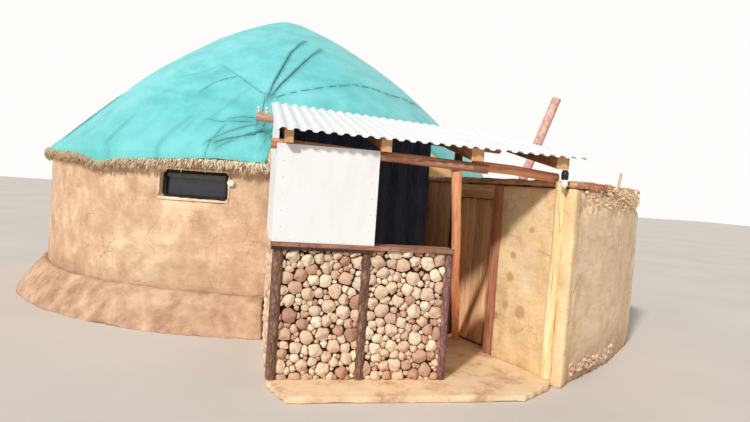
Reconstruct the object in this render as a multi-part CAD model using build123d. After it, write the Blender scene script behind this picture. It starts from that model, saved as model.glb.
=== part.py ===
"""Round mud-walled yurt with a tarpaulin dome, a log and cobble porch and a small side room.

Plan frame while building: X along the porch front, Y back, Z up, millimetres, corner of the
porch front on the left as the zero. All pieces are moved together to the centre of the outline at the end.
"""
import os
from math import cos, degrees, pi, radians, sin, sqrt

from build123d import *

os.makedirs("parts", exist_ok=True)

# Ground and yurt wall; the porch floor's top is the zero of the heights
GROUND = -60.0
YURT_R = 3220.0
YURT_FRONT = 1730.0
YURT_X, YURT_Y = 220.0, YURT_FRONT + YURT_R
WALL_T = 340.0
WALL_TOP = 1735.0
BANK_H = 370.0
BANK_W = 360.0
SIDES = 48

# Dome: height over the eave is rise * (1 - (r / radius) ** a) ** b
TARP_OUT, TARP_UP, TARP_RISE = 75.0, 70.0, 2310.0
TARP_R, TARP_EAVE = YURT_R + TARP_OUT, WALL_TOP + TARP_UP
TARP_A, TARP_B = 1.30, 0.82
TARP_T = 6.0
THATCH_IN, THATCH_LOW = 210.0, 80.0
THATCH_R, THATCH_RISE = YURT_R - THATCH_IN, TARP_RISE - THATCH_LOW
THATCH_A, THATCH_B = 1.45, 0.78
FRINGE_DROP = 55.0
FRINGE_BOTTOM = WALL_TOP - FRINGE_DROP
SEAM_UP = 1215.0
THATCH_SEAM = WALL_TOP + SEAM_UP
POLE_COUNT, POLE_D = 24, 46.0
PLATE_W, PLATE_H = 110.0, 60.0
CROWN_R, CROWN_W, CROWN_H = 470.0, 90.0, 80.0
POLE_BENDS = (0.42, 0.79)

# Window and doorway in the round wall, angles from the front line, positive to the right
WINDOW_FROM, WINDOW_TO = -25.7, -11.85
LINTEL_H, WINDOW_H = 95.0, 315.0
WINDOW_HEAD = WALL_TOP - LINTEL_H
WINDOW_SILL = WINDOW_HEAD - WINDOW_H
DOORWAY_FROM, DOORWAY_TO = 13.5, 28.0
DOORWAY_LINTEL = 235.0
DOORWAY_H = WALL_TOP - DOORWAY_LINTEL
FRAME_W, FRAME_T = 42.0, 60.0

# Porch
PORCH_W = 2500.0
STEP_OUT = 375.0
FLOOR_TOP = 0.0
COBBLE_T = 170.0
COBBLE_TOP = 1080.0
SILL_T = 35.0
LOG_LEFT_X, LOG_LEFT_D = 50.0, 92.0
LOG_MIDDLE_X, LOG_MIDDLE_D = 768.0, 86.0
LOG_RIGHT_X, LOG_RIGHT_D = 1482.0, 78.0
LOG_Y = 32.0
POST_LOW = 2.0
PANEL_X0, PANEL_X1 = -12.0, LOG_MIDDLE_X + 48
PANEL_T = 10.0
BEAM_D = 84.0
BEAM_Z = 1887.0
BEAM_LEFT_Z = (BEAM_Z, BEAM_Z - 72)
BEAM_RIGHT_Z = (BEAM_Z - 45, BEAM_Z - 97)
BEAM_OUT = 60.0
BEAM_LAP_X = PORCH_W - 730
BEAM_LAP = 110.0
BEAM_END_X = PORCH_W - 30
BEAM_SHIFT = 79.0
REAR_IN = 170.0
REAR_Y = YURT_FRONT - REAR_IN
REAR_D = 90.0
REAR_OUT = 190.0
REAR_POST_X, REAR_POST_D = 240.0, 84.0
PROP_D = 82.0
PROP_HEAD_X = LOG_RIGHT_X + 18
PROP_SET = (-192.0, 10.0)
SIDE_PANEL_T = 12.0

# Porch roof: straight from front to back, its back edge falls to the right
ROOF_X0, ROOF_X1 = -40.0, PORCH_W + 75
ROOF_Y0, ROOF_Y1 = -175.0, YURT_FRONT - 30
ROOF_OVER = (98.0, 158.0)
ROOF_RISE = (430.0, 337.0)
ROOF_FRONT_LEFT, ROOF_FRONT_RIGHT = BEAM_LEFT_Z[0] + ROOF_OVER[0], BEAM_RIGHT_Z[1] + ROOF_OVER[1]
ROOF_BACK_LEFT, ROOF_BACK_RIGHT = ROOF_FRONT_LEFT + ROOF_RISE[0], ROOF_FRONT_RIGHT + ROOF_RISE[1]
WAVES = 27
WAVE_H = 17.0
SHEET_T = 3.0
RAFTER_H = 105.0
RAFTERS = ((1, 70.0), (9, 84.0), (17, 108.0), (25, 112.0))
RAFTER_IN = 70.0

# Wall between porch and side room, in its own frame: x along the wall from the corner, -y to the room
SIDE_X, SIDE_TURN = PORCH_W, 108.2
SIDE_T = 250.0
SIDE_RUN = 2600.0
SIDE_TOP = BEAM_Z - 187
WALL_TIP, WALL_HEEL = (-101.0, -27.0), -11.0
JAMB_X0, JAMB_W = 800.0, 115.0
JAMB_X1 = JAMB_X0 + JAMB_W
DOORWAY_W = 707.0
POST_X, POST_Y, POST_D = JAMB_X1 + DOORWAY_W, -62.0, 92.0
DOOR_H = SIDE_TOP - 155
DOOR_T = 30.0
DOOR_FACE = -115.0
JAMB_T = DOOR_T - DOOR_FACE + 10
DOOR_GAP = 7.0
HINGE_D, PIN_D = 20.0, 9.0
HINGE_X, HINGE_Y = JAMB_X1 + 11, DOOR_FACE - DOOR_T - 12
HINGE_HEIGHTS = (350.0, DOOR_H - 295)
STRAP_L, STRAP_H, STRAP_T = 400.0, 44.0, 6.0
KNUCKLE = 60.0
KNUCKLE_GAP = 6.0
BOARD_T = 35.0
CORNER_AT, CORNER_D = (50.0, 6.0), 96.0

# Side room
ROOM_T = 250.0
ROOM_OUT, ROOM_BACK = 1627.0, 1242.0
ROOM_D = (SIDE_X + ROOM_OUT, ROOM_BACK)
ROOM_BOW, ROOM_BOW_AT = 45.0, 0.34
ROOM_CORNER = (ROOM_D[0] + 135, ROOM_D[1] + 160)
ROOM_E = (ROOM_D[0] + 173, ROOM_D[1] + 358)
ROOM_F = (SIDE_X + 880, YURT_Y - 150)
CLAY_T = 75.0
ROOM_POLES, ROOM_POLE_FIRST, ROOM_POLE_PITCH = 7, 500.0, 280.0
ROOM_POLE_D, ROOM_POLE_RUN = 80.0, (3000.0, 1000.0)
PIPE_D, PIPE_T = 108.0, 4.0
PIPE_FOOT = (SIDE_X + 470, 1900.0)
PIPE_LEAN = 19.8
PIPE_TOP = SIDE_TOP + 1120
STICK_IN, STICK_H, STICK_D = (257.0, 8.0), 175.0, 34.0

# Fittings
LAMP_SHIFT, LAMP_Y, LAMP_D, LAMP_H = 44.2, -70.0, 62.0, 82.0
BOX_TURN, BOX_D, BOX_LOW = -11.25, 72.0, 110.0
KNOB_D, KNOB_H = 40.0, 66.0
KNOBS = (25.0, 105.0)


def log_between(start, end, diameter):
    """Round log whose axis runs from start to end."""
    start, end = Vector(*start), Vector(*end)
    axis = end - start
    return Solid.make_cylinder(diameter / 2, axis.length, Plane(origin=start, z_dir=axis))


def bar_between(start, end, diameter, sides=16):
    """Many-sided bar whose axis runs from start to end."""
    start, end = Vector(*start), Vector(*end)
    axis = end - start
    outline = Plane(origin=start, z_dir=axis) * RegularPolygon(diameter / 2, sides)
    return extrude(outline, axis.length, dir=axis)


def block(x0, x1, y0, y1, z0, z1):
    return Pos((x0 + x1) / 2, (y0 + y1) / 2, (z0 + z1) / 2) * Box(x1 - x0, y1 - y0, z1 - z0)


def prism(points, bottom, top):
    """Upright solid over a plan polygon."""
    face = Pos(0, 0, bottom) * make_face(Polyline(*points, close=True))
    return extrude(face, top - bottom, dir=(0, 0, 1))


def drum(radius, bottom, top):
    return Solid.make_cylinder(radius, top - bottom, Plane((YURT_X, YURT_Y, bottom)))


def arc_wall(start, end, bottom, top, inner=YURT_R - WALL_T, outer=YURT_R):
    """Piece of the round wall between two angles from the front line, with the dome's flats."""
    side = 360 / SIDES
    turns = [start - 90, end - 90]
    turns += [number * side for number in range(-SIDES, 2 * SIDES) if start - 90 < number * side < end - 90]
    arcs = []
    for radius in (outer, inner):
        arc = []
        for turn in sorted(turns):
            to_flat = radians(turn % side - side / 2)
            reach = radius * cos(radians(side / 2)) / cos(to_flat)
            arc.append((YURT_X + reach * cos(radians(turn)), YURT_Y + reach * sin(radians(turn))))
        arcs.append(arc)
    return prism(arcs[0] + arcs[1][::-1], bottom, top)


def at_yurt(radius, angle, height=0.0):
    turn = radians(angle - 90)
    return (YURT_X + radius * cos(turn), YURT_Y + radius * sin(turn), height)


def dome_curve(radius, eave, rise, a, b, steps=8):
    """Points of the dome's profile from its top to the eave, as (r, z)."""
    points = []
    for step in range(steps + 1):
        share = max(0.03, sin(radians(90 * step / steps)))
        points.append((radius * share, eave + rise * max(0.0, 1 - share ** a) ** b))
    return points


def inside_curve(points, depth):
    """The same profile moved inward, square to itself; its last point stays on the eave's level."""
    moved = []
    for index, (r, z) in enumerate(points):
        before = points[max(index - 1, 0)]
        after = points[min(index + 1, len(points) - 1)]
        dr, dz = after[0] - before[0], after[1] - before[1]
        length = sqrt(dr * dr + dz * dz)
        moved.append((r + depth * dz / length, z - depth * dr / length))
    moved[-1] = (points[-1][0] - depth, points[-1][1])
    return moved


def ring_solid(points, x=YURT_X, y=YURT_Y, sides=SIDES):
    """Faceted solid round an upright axis whose section has the given (r, z) points."""
    rings = []
    for r, z in points:
        turns = [2 * pi * side / sides for side in range(sides)]
        rings.append([Vector(x + r * cos(turn), y + r * sin(turn), z) for turn in turns])
    faces = [Face(Wire.make_polygon(rings[0], close=True)), Face(Wire.make_polygon(rings[-1], close=True))]
    for upper, lower in zip(rings, rings[1:]):
        for side in range(sides):
            after = (side + 1) % sides
            corners = [upper[side], upper[after], lower[after], lower[side]]
            faces.append(Face(Wire.make_polygon(corners, close=True)))
    return Solid(Shell(faces))


def ring_block(outer, inner, bottom, top, sides=SIDES):
    """Faceted upright ring."""
    whole = ring_solid([(outer, top), (outer, bottom)], sides=sides)
    return whole - ring_solid([(inner, top), (inner, bottom)], sides=sides)


def roof_z(x, y):
    """Height of the porch roof's lower face."""
    across = (x - ROOF_X0) / (ROOF_X1 - ROOF_X0)
    back = (y - ROOF_Y0) / (ROOF_Y1 - ROOF_Y0)
    front_z = ROOF_FRONT_LEFT + (ROOF_FRONT_RIGHT - ROOF_FRONT_LEFT) * across
    back_z = ROOF_BACK_LEFT + (ROOF_BACK_RIGHT - ROOF_BACK_LEFT) * across
    return front_z + (back_z - front_z) * back


def roof_edge(y):
    """Closed wire of the corrugated sheet's section at one depth."""
    pitch = (ROOF_X1 - ROOF_X0) / WAVES
    lower = []
    for wave in range(WAVES):
        for share, lift in ((0.0, 0.0), (0.3, 0.0), (0.5, 1.0), (0.8, 1.0)):
            lower.append((ROOF_X0 + (wave + share) * pitch, lift * WAVE_H))
    lower.append((ROOF_X1, 0.0))
    loop = [(x, y, roof_z(x, y) + lift) for x, lift in lower]
    loop += [(x, y, roof_z(x, y) + lift + SHEET_T) for x, lift in reversed(lower)]
    return Wire.make_polygon([Vector(*point) for point in loop], close=True)


parts = {}

# Yurt wall in segments
flat_share = cos(pi / SIDES)
eave_room = ring_solid([(TARP_R, TARP_EAVE + 300), (TARP_R, FRINGE_BOTTOM)])
cuts = (DOORWAY_TO, 84.0, 146.0, 208.0, 270.0, 360.0 + WINDOW_FROM)
names = ("right", "right_back", "back", "left_back", "left")
for name, start, end in zip(names, cuts, cuts[1:]):
    parts["yurt_wall_" + name] = arc_wall(start, end, GROUND, WALL_TOP)
parts["yurt_wall_front"] = arc_wall(WINDOW_TO, DOORWAY_FROM, GROUND, WALL_TOP)
parts["yurt_wall_at_openings"] = [
    arc_wall(WINDOW_FROM, WINDOW_TO, GROUND, WINDOW_SILL),
    arc_wall(WINDOW_FROM, WINDOW_TO, WINDOW_HEAD, WALL_TOP),
    arc_wall(DOORWAY_FROM, DOORWAY_TO, DOORWAY_H, WALL_TOP)]

# Earth bank round the outside; its piece at the porch and side room is cut away further on
wall_outer = ring_solid([(YURT_R, WALL_TOP), (YURT_R, GROUND)])
bank = ring_solid([(YURT_R + 60, BANK_H), (YURT_R + BANK_W, GROUND)]) - wall_outer

# Wall plate, crown and bent roof poles
plate_r = THATCH_R * flat_share - 40
parts["wall_plate"] = ring_block(plate_r, plate_r - PLATE_W, WALL_TOP, WALL_TOP + PLATE_H)
thatch_inner = dome_curve(THATCH_R, WALL_TOP, THATCH_RISE, THATCH_A, THATCH_B)


def under_thatch(r):
    """Height of a pole's axis at radius r, just under the straw."""
    share = r / (THATCH_R - 40)
    return WALL_TOP + (THATCH_RISE - 45) * (1 - share ** THATCH_A) ** THATCH_B


crown_z = under_thatch(CROWN_R)
crown_bottom = crown_z - 18 - CROWN_H / 2
crown = ring_block(CROWN_R + 20, CROWN_R + 20 - CROWN_W, crown_bottom, crown_bottom + CROWN_H, POLE_COUNT)
parts["crown_ring"] = crown
pole_foot = plate_r - PLATE_W / 2
bend_radii = [CROWN_R] + [CROWN_R + (pole_foot - CROWN_R) * share for share in POLE_BENDS]
bends = [(r, 0, under_thatch(r)) for r in bend_radii]
bends.append((pole_foot, 0, WALL_TOP + PLATE_H / 2))
pole_path = Polyline(*bends)
pole_end = Plane(origin=bends[0], z_dir=Vector(*bends[1]) - Vector(*bends[0]))
pole = sweep(pole_end * RegularPolygon(POLE_D / 2, 6), pole_path, transition=Transition.RIGHT)
plate_block = ring_solid([(THATCH_R, WALL_TOP + PLATE_H), (THATCH_R, WALL_TOP)])
poles = []
for index in range(POLE_COUNT):
    turned_pole = Pos(YURT_X, YURT_Y, 0) * Rot(0, 0, 360 * index / POLE_COUNT) * pole
    turned_pole = turned_pole - crown - plate_block
    poles.append(turned_pole.solids().sort_by(SortBy.VOLUME)[-1])
parts["roof_poles"] = poles

# Tarpaulin over the straw
tarp_outer = dome_curve(TARP_R, TARP_EAVE, TARP_RISE, TARP_A, TARP_B)
tarp_inner = inside_curve(tarp_outer, TARP_T)
parts["tarp_cover"] = ring_solid(tarp_outer) - ring_solid(tarp_inner)
fringe = tarp_inner + [(tarp_inner[-1][0], FRINGE_BOTTOM)]
thatch = ring_solid(fringe) - ring_solid([(YURT_R, WALL_TOP), (YURT_R, FRINGE_BOTTOM)])
thatch = thatch - ring_solid(thatch_inner)
upper_half = drum(TARP_R, THATCH_SEAM, TARP_EAVE + TARP_RISE)
parts["straw_thatch_lower"] = thatch - upper_half
parts["straw_thatch_upper"] = thatch & upper_half

# Window and doorway frames
def arc_frame(start, end, bottom, top, width, outer, sill=True):
    """Frame lining an opening in the round wall."""
    side = degrees(width / YURT_R)
    pieces = [
        arc_wall(start, start + side, bottom, top, outer - FRAME_T, outer),
        arc_wall(end - side, end, bottom, top, outer - FRAME_T, outer),
        arc_wall(start + side, end - side, top - width, top, outer - FRAME_T, outer)]
    if sill:
        pieces.append(arc_wall(start + side, end - side, bottom, bottom + width, outer - FRAME_T, outer))
    return pieces[0].fuse(*pieces[1:])


window_outer = YURT_R - 60
parts["yurt_frames"] = [
    arc_frame(WINDOW_FROM, WINDOW_TO, WINDOW_SILL, WINDOW_HEAD, FRAME_W, window_outer),
    arc_frame(DOORWAY_FROM, DOORWAY_TO, GROUND, DOORWAY_H, 60.0, YURT_R - 20, sill=False)]
glass_side = degrees(FRAME_W / YURT_R)
parts["yurt_window_glass"] = arc_wall(
    WINDOW_FROM + glass_side, WINDOW_TO - glass_side, WINDOW_SILL + FRAME_W, WINDOW_HEAD - FRAME_W,
    window_outer - 32, window_outer - 26)

# Porch floor
side_at = Location((SIDE_X, 0, 0), (0, 0, SIDE_TURN))

def beside(x, y):
    """Plan point given in the frame of the side wall."""
    point = (side_at * Pos(x, y, 0)).position
    return (point.X, point.Y)


side_far = beside(SIDE_RUN, 0)
leaf_back = DOOR_FACE - DOOR_T
threshold = [
    beside(JAMB_X1, 0), beside(JAMB_X1, leaf_back), beside(POST_X, leaf_back), beside(POST_X, 0)]
floor = prism(
    [(0, 0), (140, -STEP_OUT), (PORCH_W - 420, -STEP_OUT), (PORCH_W - 60, -120), (PORCH_W, 0),
     *threshold, side_far, (0, side_far[1])], GROUND, FLOOR_TOP)
parts["porch_floor"] = floor - wall_outer


# Front beams, one behind the other where they lap
def beam_z(x, ends, x0, x1):
    return ends[0] + (ends[1] - ends[0]) * (x - x0) / (x1 - x0)


lap_x = BEAM_LAP_X - BEAM_LAP
beam_left = log_between((-BEAM_OUT, LOG_Y, BEAM_LEFT_Z[0]), (BEAM_LAP_X, LOG_Y, BEAM_LEFT_Z[1]), BEAM_D)
beam_right_y = LOG_Y + BEAM_SHIFT
beam_right = log_between(
    (lap_x, beam_right_y, BEAM_RIGHT_Z[0]), (BEAM_END_X, beam_right_y, BEAM_RIGHT_Z[1]), BEAM_D)
beam_right = beam_right - beam_left
parts["front_beams"] = [beam_left, beam_right]

# Upright logs, cobble walls between them, sill and white panels
logs = []
for x, diameter in ((LOG_LEFT_X, LOG_LEFT_D), (LOG_MIDDLE_X, LOG_MIDDLE_D)):
    top = beam_z(x, BEAM_LEFT_Z, -BEAM_OUT, BEAM_LAP_X) - BEAM_D / 2 - POST_LOW
    logs.append(log_between((x, LOG_Y, FLOOR_TOP), (x, LOG_Y, top), diameter))
logs.append(log_between((LOG_RIGHT_X, LOG_Y, FLOOR_TOP), (LOG_RIGHT_X, LOG_Y, COBBLE_TOP), LOG_RIGHT_D))
cobble_left = block(LOG_LEFT_X, LOG_MIDDLE_X, 0, COBBLE_T, FLOOR_TOP, COBBLE_TOP)
cobble_right = block(LOG_MIDDLE_X, LOG_RIGHT_X, 0, COBBLE_T, FLOOR_TOP, COBBLE_TOP)
sill = block(PANEL_X0, LOG_RIGHT_X + 30, -25, COBBLE_T + 20, COBBLE_TOP, COBBLE_TOP + SILL_T)
side_wall = block(0, COBBLE_T, COBBLE_T, YURT_FRONT + WALL_T, FLOOR_TOP, COBBLE_TOP) + block(
    0, LOG_LEFT_X, LOG_Y, COBBLE_T, FLOOR_TOP, COBBLE_TOP)
for post in logs:
    cobble_left = cobble_left - post
    cobble_right = cobble_right - post
    sill = sill - post
    side_wall = side_wall - post
parts["cobble_wall_front"] = [cobble_left, cobble_right]
parts["cobble_wall_side"] = side_wall - wall_outer
parts["window_sill_board"] = sill
front_face = LOG_Y - LOG_LEFT_D / 2
panel_z0 = COBBLE_TOP + SILL_T
parts["front_panel"] = block(PANEL_X0, PANEL_X1, front_face - PANEL_T, front_face, panel_z0, BEAM_Z + 3)


# Rear beam on its two posts, and rafters under the sheet
def rear_z(x):
    return roof_z(x, REAR_Y) - RAFTER_H - REAR_D / 2 + 2


rear_end = ROOF_X1 - 35
rear_beam = log_between((-REAR_OUT, REAR_Y, rear_z(-REAR_OUT)), (rear_end, REAR_Y, rear_z(rear_end)), REAR_D)
parts["rear_beam"] = rear_beam
pitch = (ROOF_X1 - ROOF_X0) / WAVES


def rafter_between(x, width, y0, y1):
    """Squared rafter whose upper face lies just under the sheet."""
    z0, z1 = roof_z(x, y0) - 0.8, roof_z(x, y1) - 0.8
    outline = [(y0, z0), (y1, z1), (y1, z1 - RAFTER_H), (y0, z0 - RAFTER_H)]
    corners = [Vector(x - width / 2, y, z) for y, z in outline]
    return Solid.extrude(Face(Wire.make_polygon(corners, close=True)), Vector(width, 0, 0))


rafters = []
for wave, width in RAFTERS:
    x = ROOF_X0 + (wave + 0.15) * pitch
    rafter = rafter_between(x, width, ROOF_Y0 + RAFTER_IN, ROOF_Y1 - RAFTER_IN)
    rafters.append(rafter - beam_left - beam_right - rear_beam - parts["front_panel"])
parts["rafters"] = rafters
post_top = rear_z(REAR_POST_X) - REAR_D / 2 - POST_LOW
rear_post = log_between((REAR_POST_X, REAR_Y, FLOOR_TOP), (REAR_POST_X, REAR_Y, post_top), REAR_POST_D)
parts["porch_logs"] = logs + [rear_post]
post_at = beside(POST_X, POST_Y)
door_post = log_between((*post_at, FLOOR_TOP), (*post_at, rear_z(post_at[0])), POST_D)
door_post = door_post - rear_beam
parts["door_post"] = door_post
foot_at = beside(POST_X + PROP_SET[0], POST_Y + PROP_SET[1])
head_z = beam_z(PROP_HEAD_X, BEAM_LEFT_Z, -BEAM_OUT, BEAM_LAP_X)
prop = log_between((*foot_at, FLOOR_TOP - 30), (PROP_HEAD_X, LOG_Y + 14, head_z), PROP_D)
prop = prop - beam_left - floor
parts["leaning_prop"] = prop.solids().sort_by(SortBy.VOLUME)[-1]
panel_back = REAR_Y + 40
panel_outline = [
    (0, COBBLE_TOP), (panel_back, COBBLE_TOP),
    (panel_back, roof_z(0, panel_back) - 0.8), (0, roof_z(0, 0) - 0.8)]
panel_corners = [Vector(-SIDE_PANEL_T, y, z) for y, z in panel_outline]
side_panel = Solid.extrude(Face(Wire.make_polygon(panel_corners, close=True)), Vector(SIDE_PANEL_T, 0, 0))
parts["side_panel"] = side_panel - rear_beam - beam_left - sill - parts["front_panel"]

# Corrugated roof
parts["porch_roof_sheet"] = Solid.make_loft([roof_edge(ROOF_Y0), roof_edge(ROOF_Y1)], ruled=True)

# Wall to the side room, corner log, jamb, and boards over and beside the door
wall_end = [(0, 0), WALL_TIP, (WALL_HEEL, -SIDE_T), (JAMB_X0, -SIDE_T), (JAMB_X0, 0)]
porch_wall = side_at * prism(wall_end, GROUND, SIDE_TOP)
corner_at = beside(*CORNER_AT)
corner_post = log_between((*corner_at, FLOOR_TOP), (*corner_at, BEAM_RIGHT_Z[1]), CORNER_D)
corner_post = corner_post - beam_right
parts["corner_post"] = corner_post
parts["porch_right_wall"] = porch_wall - corner_post - floor
parts["door_jamb"] = side_at * block(JAMB_X0, JAMB_X1, -JAMB_T, 0, GROUND, SIDE_TOP) - floor
head = block(JAMB_X1, POST_X, -JAMB_T, 0, DOOR_H + 10, SIDE_TOP)
door_head = side_at * head - door_post
boards = side_at * block(POST_X, SIDE_RUN - 100, POST_Y - BOARD_T / 2, POST_Y + BOARD_T / 2, GROUND, SIDE_TOP)
parts["boards_by_door"] = [door_head, boards - door_post - wall_outer - eave_room - floor]

# Plank door: straps and eyes on the leaf, pins on the jamb
leaf_end = POST_X - POST_D / 2 - DOOR_GAP
leaf = block(JAMB_X1 + DOOR_GAP, leaf_end, leaf_back, DOOR_FACE, FLOOR_TOP + 15, DOOR_H)
eyes = []
pintles = []
for height in HINGE_HEIGHTS:
    at_eye = Pos(HINGE_X, HINGE_Y, height)
    half = STRAP_H / 2
    strap = block(HINGE_X, HINGE_X + STRAP_L, leaf_back - STRAP_T, leaf_back, height - half, height + half)
    eyes += [at_eye * Cylinder(HINGE_D / 2, KNUCKLE) + strap - at_eye * Cylinder(PIN_D / 2 + 0.8, KNUCKLE)]
    low = height - KNUCKLE - KNUCKLE_GAP
    at_pintle = Pos(HINGE_X, HINGE_Y, low)
    plate = block(JAMB_X1 - 60, HINGE_X, -JAMB_T - 5, -JAMB_T, low - half, low + half)
    pin = Pos(HINGE_X, HINGE_Y, height - KNUCKLE / 2) * Cylinder(PIN_D / 2, 2 * KNUCKLE)
    pintles.append(side_at * (at_pintle * Cylinder(HINGE_D / 2, KNUCKLE) + plate + pin))
bore = [Pos(HINGE_X, HINGE_Y, height) * Cylinder(PIN_D / 2 + 0.8, KNUCKLE) for height in HINGE_HEIGHTS]
parts["side_door"] = side_at * (leaf.fuse(*eyes) - bore[0] - bore[1])
parts["door_pintles"] = [pintle - parts["door_jamb"] for pintle in pintles]

# Side room walls
def inset(p, q, distance):
    """Direction square to the line p to q, on its left."""
    dx, dy = q[0] - p[0], q[1] - p[1]
    length = sqrt(dx * dx + dy * dy)
    return (-dy / length * distance, dx / length * distance)


def bowed(p, q, share, out):
    """Point beside the line p to q, at a share of its length and moved out to its right."""
    aside = inset(p, q, -out)
    return (p[0] + (q[0] - p[0]) * share + aside[0], p[1] + (q[1] - p[1]) * share + aside[1])


p3 = beside(WALL_HEEL, -SIDE_T)
p3_in = beside(WALL_HEEL + ROOM_T + 20, -SIDE_T)
room_mid = bowed(p3, ROOM_D, ROOM_BOW_AT, ROOM_BOW)
step_in = inset(p3, ROOM_D, ROOM_T)
mid_in = (room_mid[0] + step_in[0], room_mid[1] + step_in[1])
d_in = (ROOM_D[0] + step_in[0] - 60, ROOM_D[1] + step_in[1])
back_in = inset(ROOM_E, ROOM_F, ROOM_T)
e_in = (ROOM_E[0] + back_in[0], ROOM_E[1] + back_in[1] + 40)
f_in = (ROOM_F[0] + back_in[0], ROOM_F[1] + back_in[1])


def curved(edges, bottom, top):
    return extrude(Pos(0, 0, bottom) * make_face(Wire(edges)), top - bottom, dir=(0, 0, 1))


front_outer = ThreePointArc(p3, room_mid, ROOM_D)
corner_outer = ThreePointArc(ROOM_D, ROOM_CORNER, ROOM_E)
front_piece = curved(
    [front_outer, Line(ROOM_D, d_in), ThreePointArc(d_in, mid_in, p3_in), Line(p3_in, p3)],
    GROUND, SIDE_TOP)
corner_mid = ((d_in[0] + e_in[0]) / 2 + 25, (d_in[1] + e_in[1]) / 2 - 15)
corner_piece = curved(
    [corner_outer, Line(ROOM_E, e_in), ThreePointArc(e_in, corner_mid, d_in), Line(d_in, ROOM_D)],
    GROUND, SIDE_TOP)
parts["side_room_front_wall"] = front_piece.fuse(corner_piece)
back = prism([ROOM_E, ROOM_F, f_in, e_in], GROUND, SIDE_TOP)
parts["side_room_back_wall"] = back - wall_outer - eave_room
room_side = prism(
    [(0, 0), (0, YURT_FRONT + 170), (YURT_X, YURT_Y), ROOM_F, ROOM_E, (ROOM_E[0] + 300, 0)], GROUND, BANK_H)
parts["earth_bank"] = bank - back - room_side

# Side room roof on poles let into the walls
tip = beside(*WALL_TIP)
roof_outline = [
    Line((SIDE_X, 0), tip), Line(tip, p3), front_outer, corner_outer,
    Line(ROOM_E, ROOM_F), Line(ROOM_F, side_far), Line(side_far, (SIDE_X, 0))]
clay = curved(roof_outline, SIDE_TOP, SIDE_TOP + CLAY_T)
pipe_axis = Vector(sin(radians(PIPE_LEAN)), 0, cos(radians(PIPE_LEAN)))
pipe_length = (PIPE_TOP - SIDE_TOP) / cos(radians(PIPE_LEAN)) + 200
pipe_start = Vector(PIPE_FOOT[0], PIPE_FOOT[1], SIDE_TOP) - pipe_axis * 200
pipe_plane = Plane(origin=pipe_start, z_dir=pipe_axis)
pipe_solid = Solid.make_cylinder(PIPE_D / 2, pipe_length, pipe_plane)
parts["stove_pipe"] = pipe_solid - Solid.make_cylinder(PIPE_D / 2 - PIPE_T, pipe_length, pipe_plane)
clay = clay - door_post - corner_post - beam_right - wall_outer - eave_room - pipe_solid
parts["side_room_roof"] = clay

poles_under = []
for index in range(ROOM_POLES):
    start = beside(ROOM_POLE_FIRST + index * ROOM_POLE_PITCH, -20)
    run = Vector(*ROOM_POLE_RUN, 0)
    pole_plane = Plane(origin=(*start, SIDE_TOP - ROOM_POLE_D / 2), z_dir=run)
    section = RegularPolygon(ROOM_POLE_D / 2, 8, rotation=22.5, major_radius=False)
    poles_under.append(extrude(pole_plane * section, run.length))
near_corner = (p3_in[0] - 60, p3_in[1])
room_outline = prism([near_corner, d_in, e_in, f_in], SIDE_TOP - ROOM_POLE_D, SIDE_TOP)
fitted = []
for pole_log in poles_under:
    piece = pole_log & room_outline
    piece = piece - wall_outer - eave_room - pipe_solid
    for solid in piece.solids():
        if solid.volume > ROOM_T * pi * ROOM_POLE_D ** 2:
            fitted.append(solid)
parts["side_room_poles"] = fitted
stick_foot = (ROOM_D[0] - STICK_IN[0], ROOM_D[1] + STICK_IN[1], SIDE_TOP + CLAY_T)
stick_head = (stick_foot[0] + 30, stick_foot[1] + 2, stick_foot[2] + STICK_H)
parts["roof_stick"] = bar_between(stick_foot, stick_head, STICK_D, 12) - clay

# Fittings
lamp_x = ROOF_X0 + (RAFTERS[-1][0] + 0.15) * pitch + LAMP_SHIFT
holder_top = roof_z(lamp_x + LAMP_D / 2, LAMP_Y - LAMP_D / 2) - RAFTER_H - 1.3
lamp_z = holder_top - LAMP_H
parts["lamp_holder"] = bar_between((lamp_x, LAMP_Y, lamp_z), (lamp_x, LAMP_Y, holder_top), LAMP_D)
bulb_levels = ((13, 0), (14, -14), (24, -30), (30, -47), (27, -63), (16, -74), (4, -78))
parts["lamp_bulb"] = ring_solid([(r, lamp_z + z) for r, z in bulb_levels], lamp_x, LAMP_Y, 16)
box_at = at_yurt(YURT_R * flat_share, BOX_TURN, WINDOW_HEAD - BOX_LOW)
box_end = at_yurt(YURT_R * flat_share + BOX_D / 2, BOX_TURN, WINDOW_HEAD - BOX_LOW)
parts["junction_box"] = bar_between(box_at, box_end, BOX_D, 24)
knobs = []
for along in KNOBS:
    x = along - REAR_OUT
    z = rear_z(x - KNOB_D / 2) + REAR_D / 2
    knobs.append(bar_between((x, REAR_Y, z), (x, REAR_Y, z + KNOB_H), KNOB_D))
parts["insulators"] = knobs


def solids_of(shape):
    items = shape if isinstance(shape, list) else [shape]
    found = []
    for item in items:
        found += item.solids()
    return found


everything = Compound(children=[copy for shape in parts.values() for copy in solids_of(shape)])
box = everything.bounding_box()
shift = Pos(-(box.min.X + box.max.X) / 2, -(box.min.Y + box.max.Y) / 2, -box.min.Z)
hinge = shift * side_at * Pos(HINGE_X, HINGE_Y, HINGE_HEIGHTS[0])
print("moved by", shift.position, "hinge at", hinge.position)
for name, shape in parts.items():
    solids = [shift * solid for solid in solids_of(shape)]
    node = solids[0] if len(solids) == 1 else Compound(children=solids)
    node.label = name
    export_step(node, "parts/" + name + ".step")
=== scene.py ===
import random
from math import atan2, cos, degrees, exp, hypot, pi, radians, sin, sqrt

import bmesh
import bpy
from mathutils import Matrix, Vector, noise


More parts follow.
